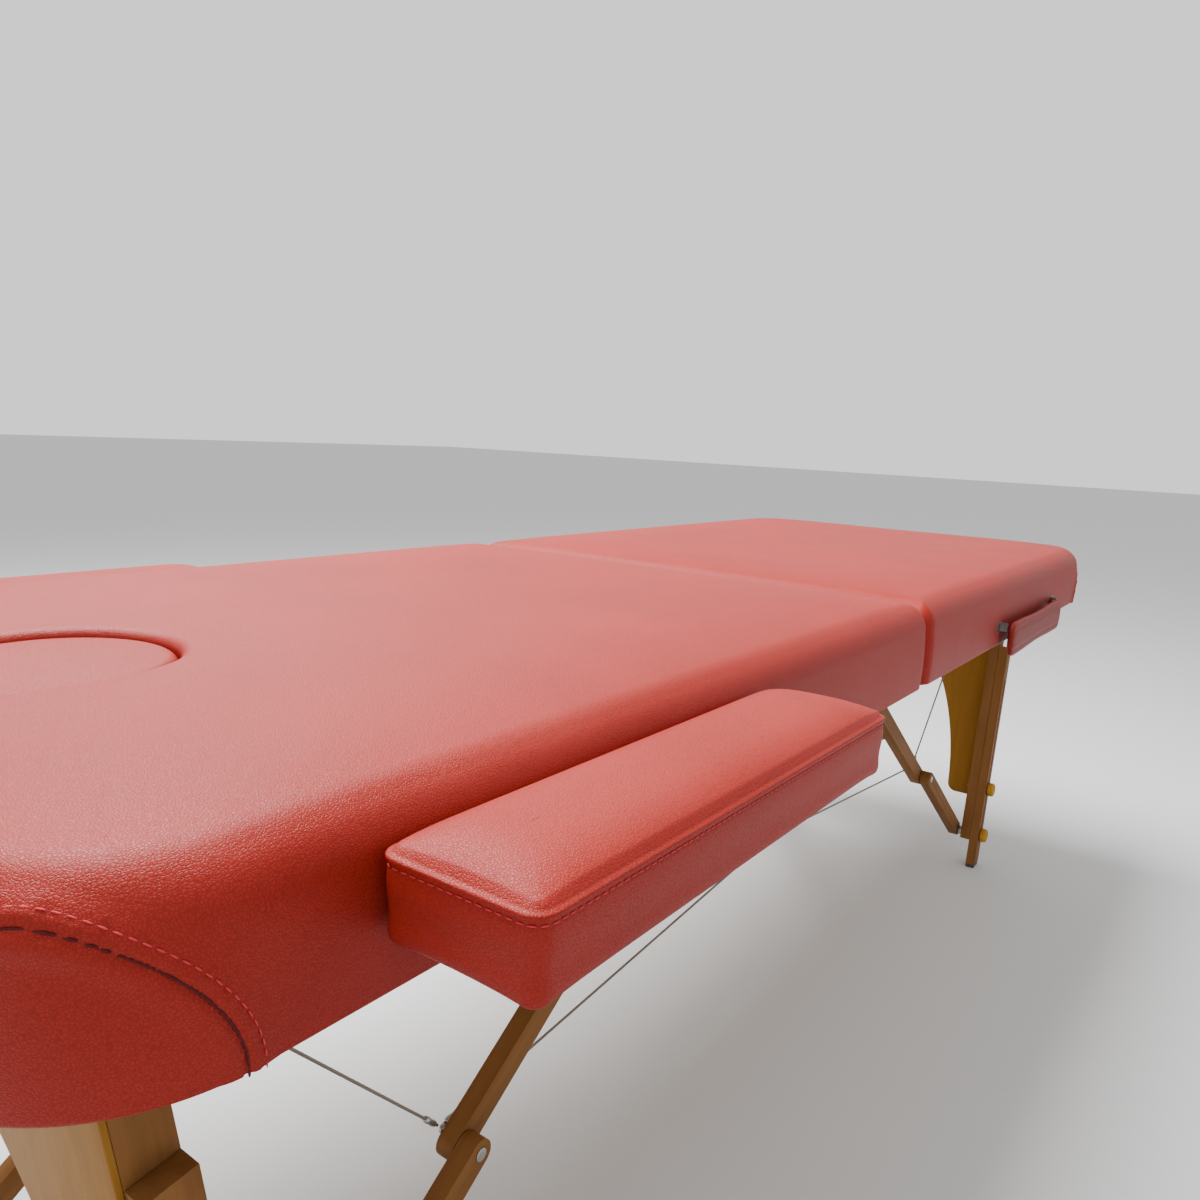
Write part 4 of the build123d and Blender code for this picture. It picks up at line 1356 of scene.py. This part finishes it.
# ---- studio -------------------------------------------------------------------------------
class MASSAGE_OT_studio(bpy.types.Operator):
    """Lays the floor and sets the lights and the camera"""

    bl_idname = "massage.studio"
    bl_label = "Studio"

    def execute(self, context):
        look = settings("studio")
        s = Shader("studio floor")
        speck = s.noise(s.place, 3.0, 2.0)
        base = tuple(look.floor)
        duller = tuple(c * 0.99 for c in base)
        s.set(Base_Color=s.mixed(s.math("MULTIPLY", speck, 0.1), base, duller), Roughness=0.9)
        size = 30.0
        verts = [(-size, -size, 0), (size, -size, 0), (size, size, 0), (-size, size, 0)]
        floor = piece_from("floor", verts, [(0, 1, 2, 3)], s.material)
        world = bpy.data.worlds.new("studio")
        bpy.context.scene.world = world
        world.use_nodes = True
        world.node_tree.nodes["Background"].inputs[0].default_value = (1.0, 1.0, 1.0, 1.0)
        world.node_tree.nodes["Background"].inputs[1].default_value = 1.15
        self.light("key", (-0.2, 1.3, 3.1), (-0.1, 0.0, 0.6), 2.2, 430.0)
        self.light("fill", (-2.9, -1.6, 2.6), (-0.3, -0.2, 0.6), 1.6, 10.0)
        camera = bpy.data.objects.new("camera", bpy.data.cameras.new("camera"))
        bpy.context.collection.objects.link(camera)
        camera.data.lens = look.lens
        camera.data.sensor_width = 36.0
        right = Vector((0.58599, -0.80888, 0.04826))
        up = Vector((0.1083, 0.1372, 0.98461))
        back = Vector((-0.80305, -0.57175, 0.168))
        turn = Matrix((right, up, back)).transposed().to_4x4()
        camera.matrix_world = Matrix.Translation((-1.093, -0.6668, 0.7966)) @ turn
        bpy.context.scene.camera = camera
        return {"FINISHED"}

    @staticmethod
    def light(name, place, target, size, power):
        """A square soft light aimed at a point."""
        lamp = bpy.data.lights.new(name, "AREA")
        lamp.size = size
        lamp.energy = power
        holder = bpy.data.objects.new(name, lamp)
        bpy.context.collection.objects.link(holder)
        holder.location = place
        aim = Vector(target) - Vector(place)
        holder.rotation_euler = aim.to_track_quat("-Z", "Y").to_euler()


OPERATORS = (
    MASSAGE_OT_upholstery,
    MASSAGE_OT_corner_seams,
    MASSAGE_OT_armrests,
    MASSAGE_OT_face_plug,
    MASSAGE_OT_carry_handle,
    MASSAGE_OT_rails,
    MASSAGE_OT_leg_frames,
    MASSAGE_OT_braces,
    MASSAGE_OT_knobs,
    MASSAGE_OT_hardware,
    MASSAGE_OT_truss_cables,
    MASSAGE_OT_fasteners,
    MASSAGE_OT_studio,
)


class MASSAGE_PT_sidebar(bpy.types.Panel):
    """Lists the table's settings and its makers"""

    bl_idname = "MASSAGE_PT_sidebar"
    bl_label = "Massage Table"
    bl_space_type = "VIEW_3D"
    bl_region_type = "UI"
    bl_category = "Massage Table"

    def draw(self, context):
        for operator in OPERATORS:
            self.layout.operator(operator.bl_idname)
        for group, kind in SETTINGS.items():
            box = self.layout.box()
            box.label(text=group.title())
            for name in kind.__annotations__:
                box.prop(settings(group), name)


CLASSES = (*SETTINGS.values(), *OPERATORS, MASSAGE_PT_sidebar)


def register():
    """Registers the classes and the scene's settings."""
    for kind in CLASSES:
        bpy.utils.register_class(kind)
    for group, kind in SETTINGS.items():
        setattr(bpy.types.Scene, f"massage_table_{group}", bpy.props.PointerProperty(type=kind))


def unregister():
    """Takes the settings and the classes away again."""
    for group in SETTINGS:
        delattr(bpy.types.Scene, f"massage_table_{group}")
    for kind in reversed(CLASSES):
        bpy.utils.unregister_class(kind)


def main():
    """Makes every piece."""
    register()
    for operator in OPERATORS:
        group, name = operator.bl_idname.split(".")
        getattr(getattr(bpy.ops, group), name)()


if __name__ == "__main__":
    main()
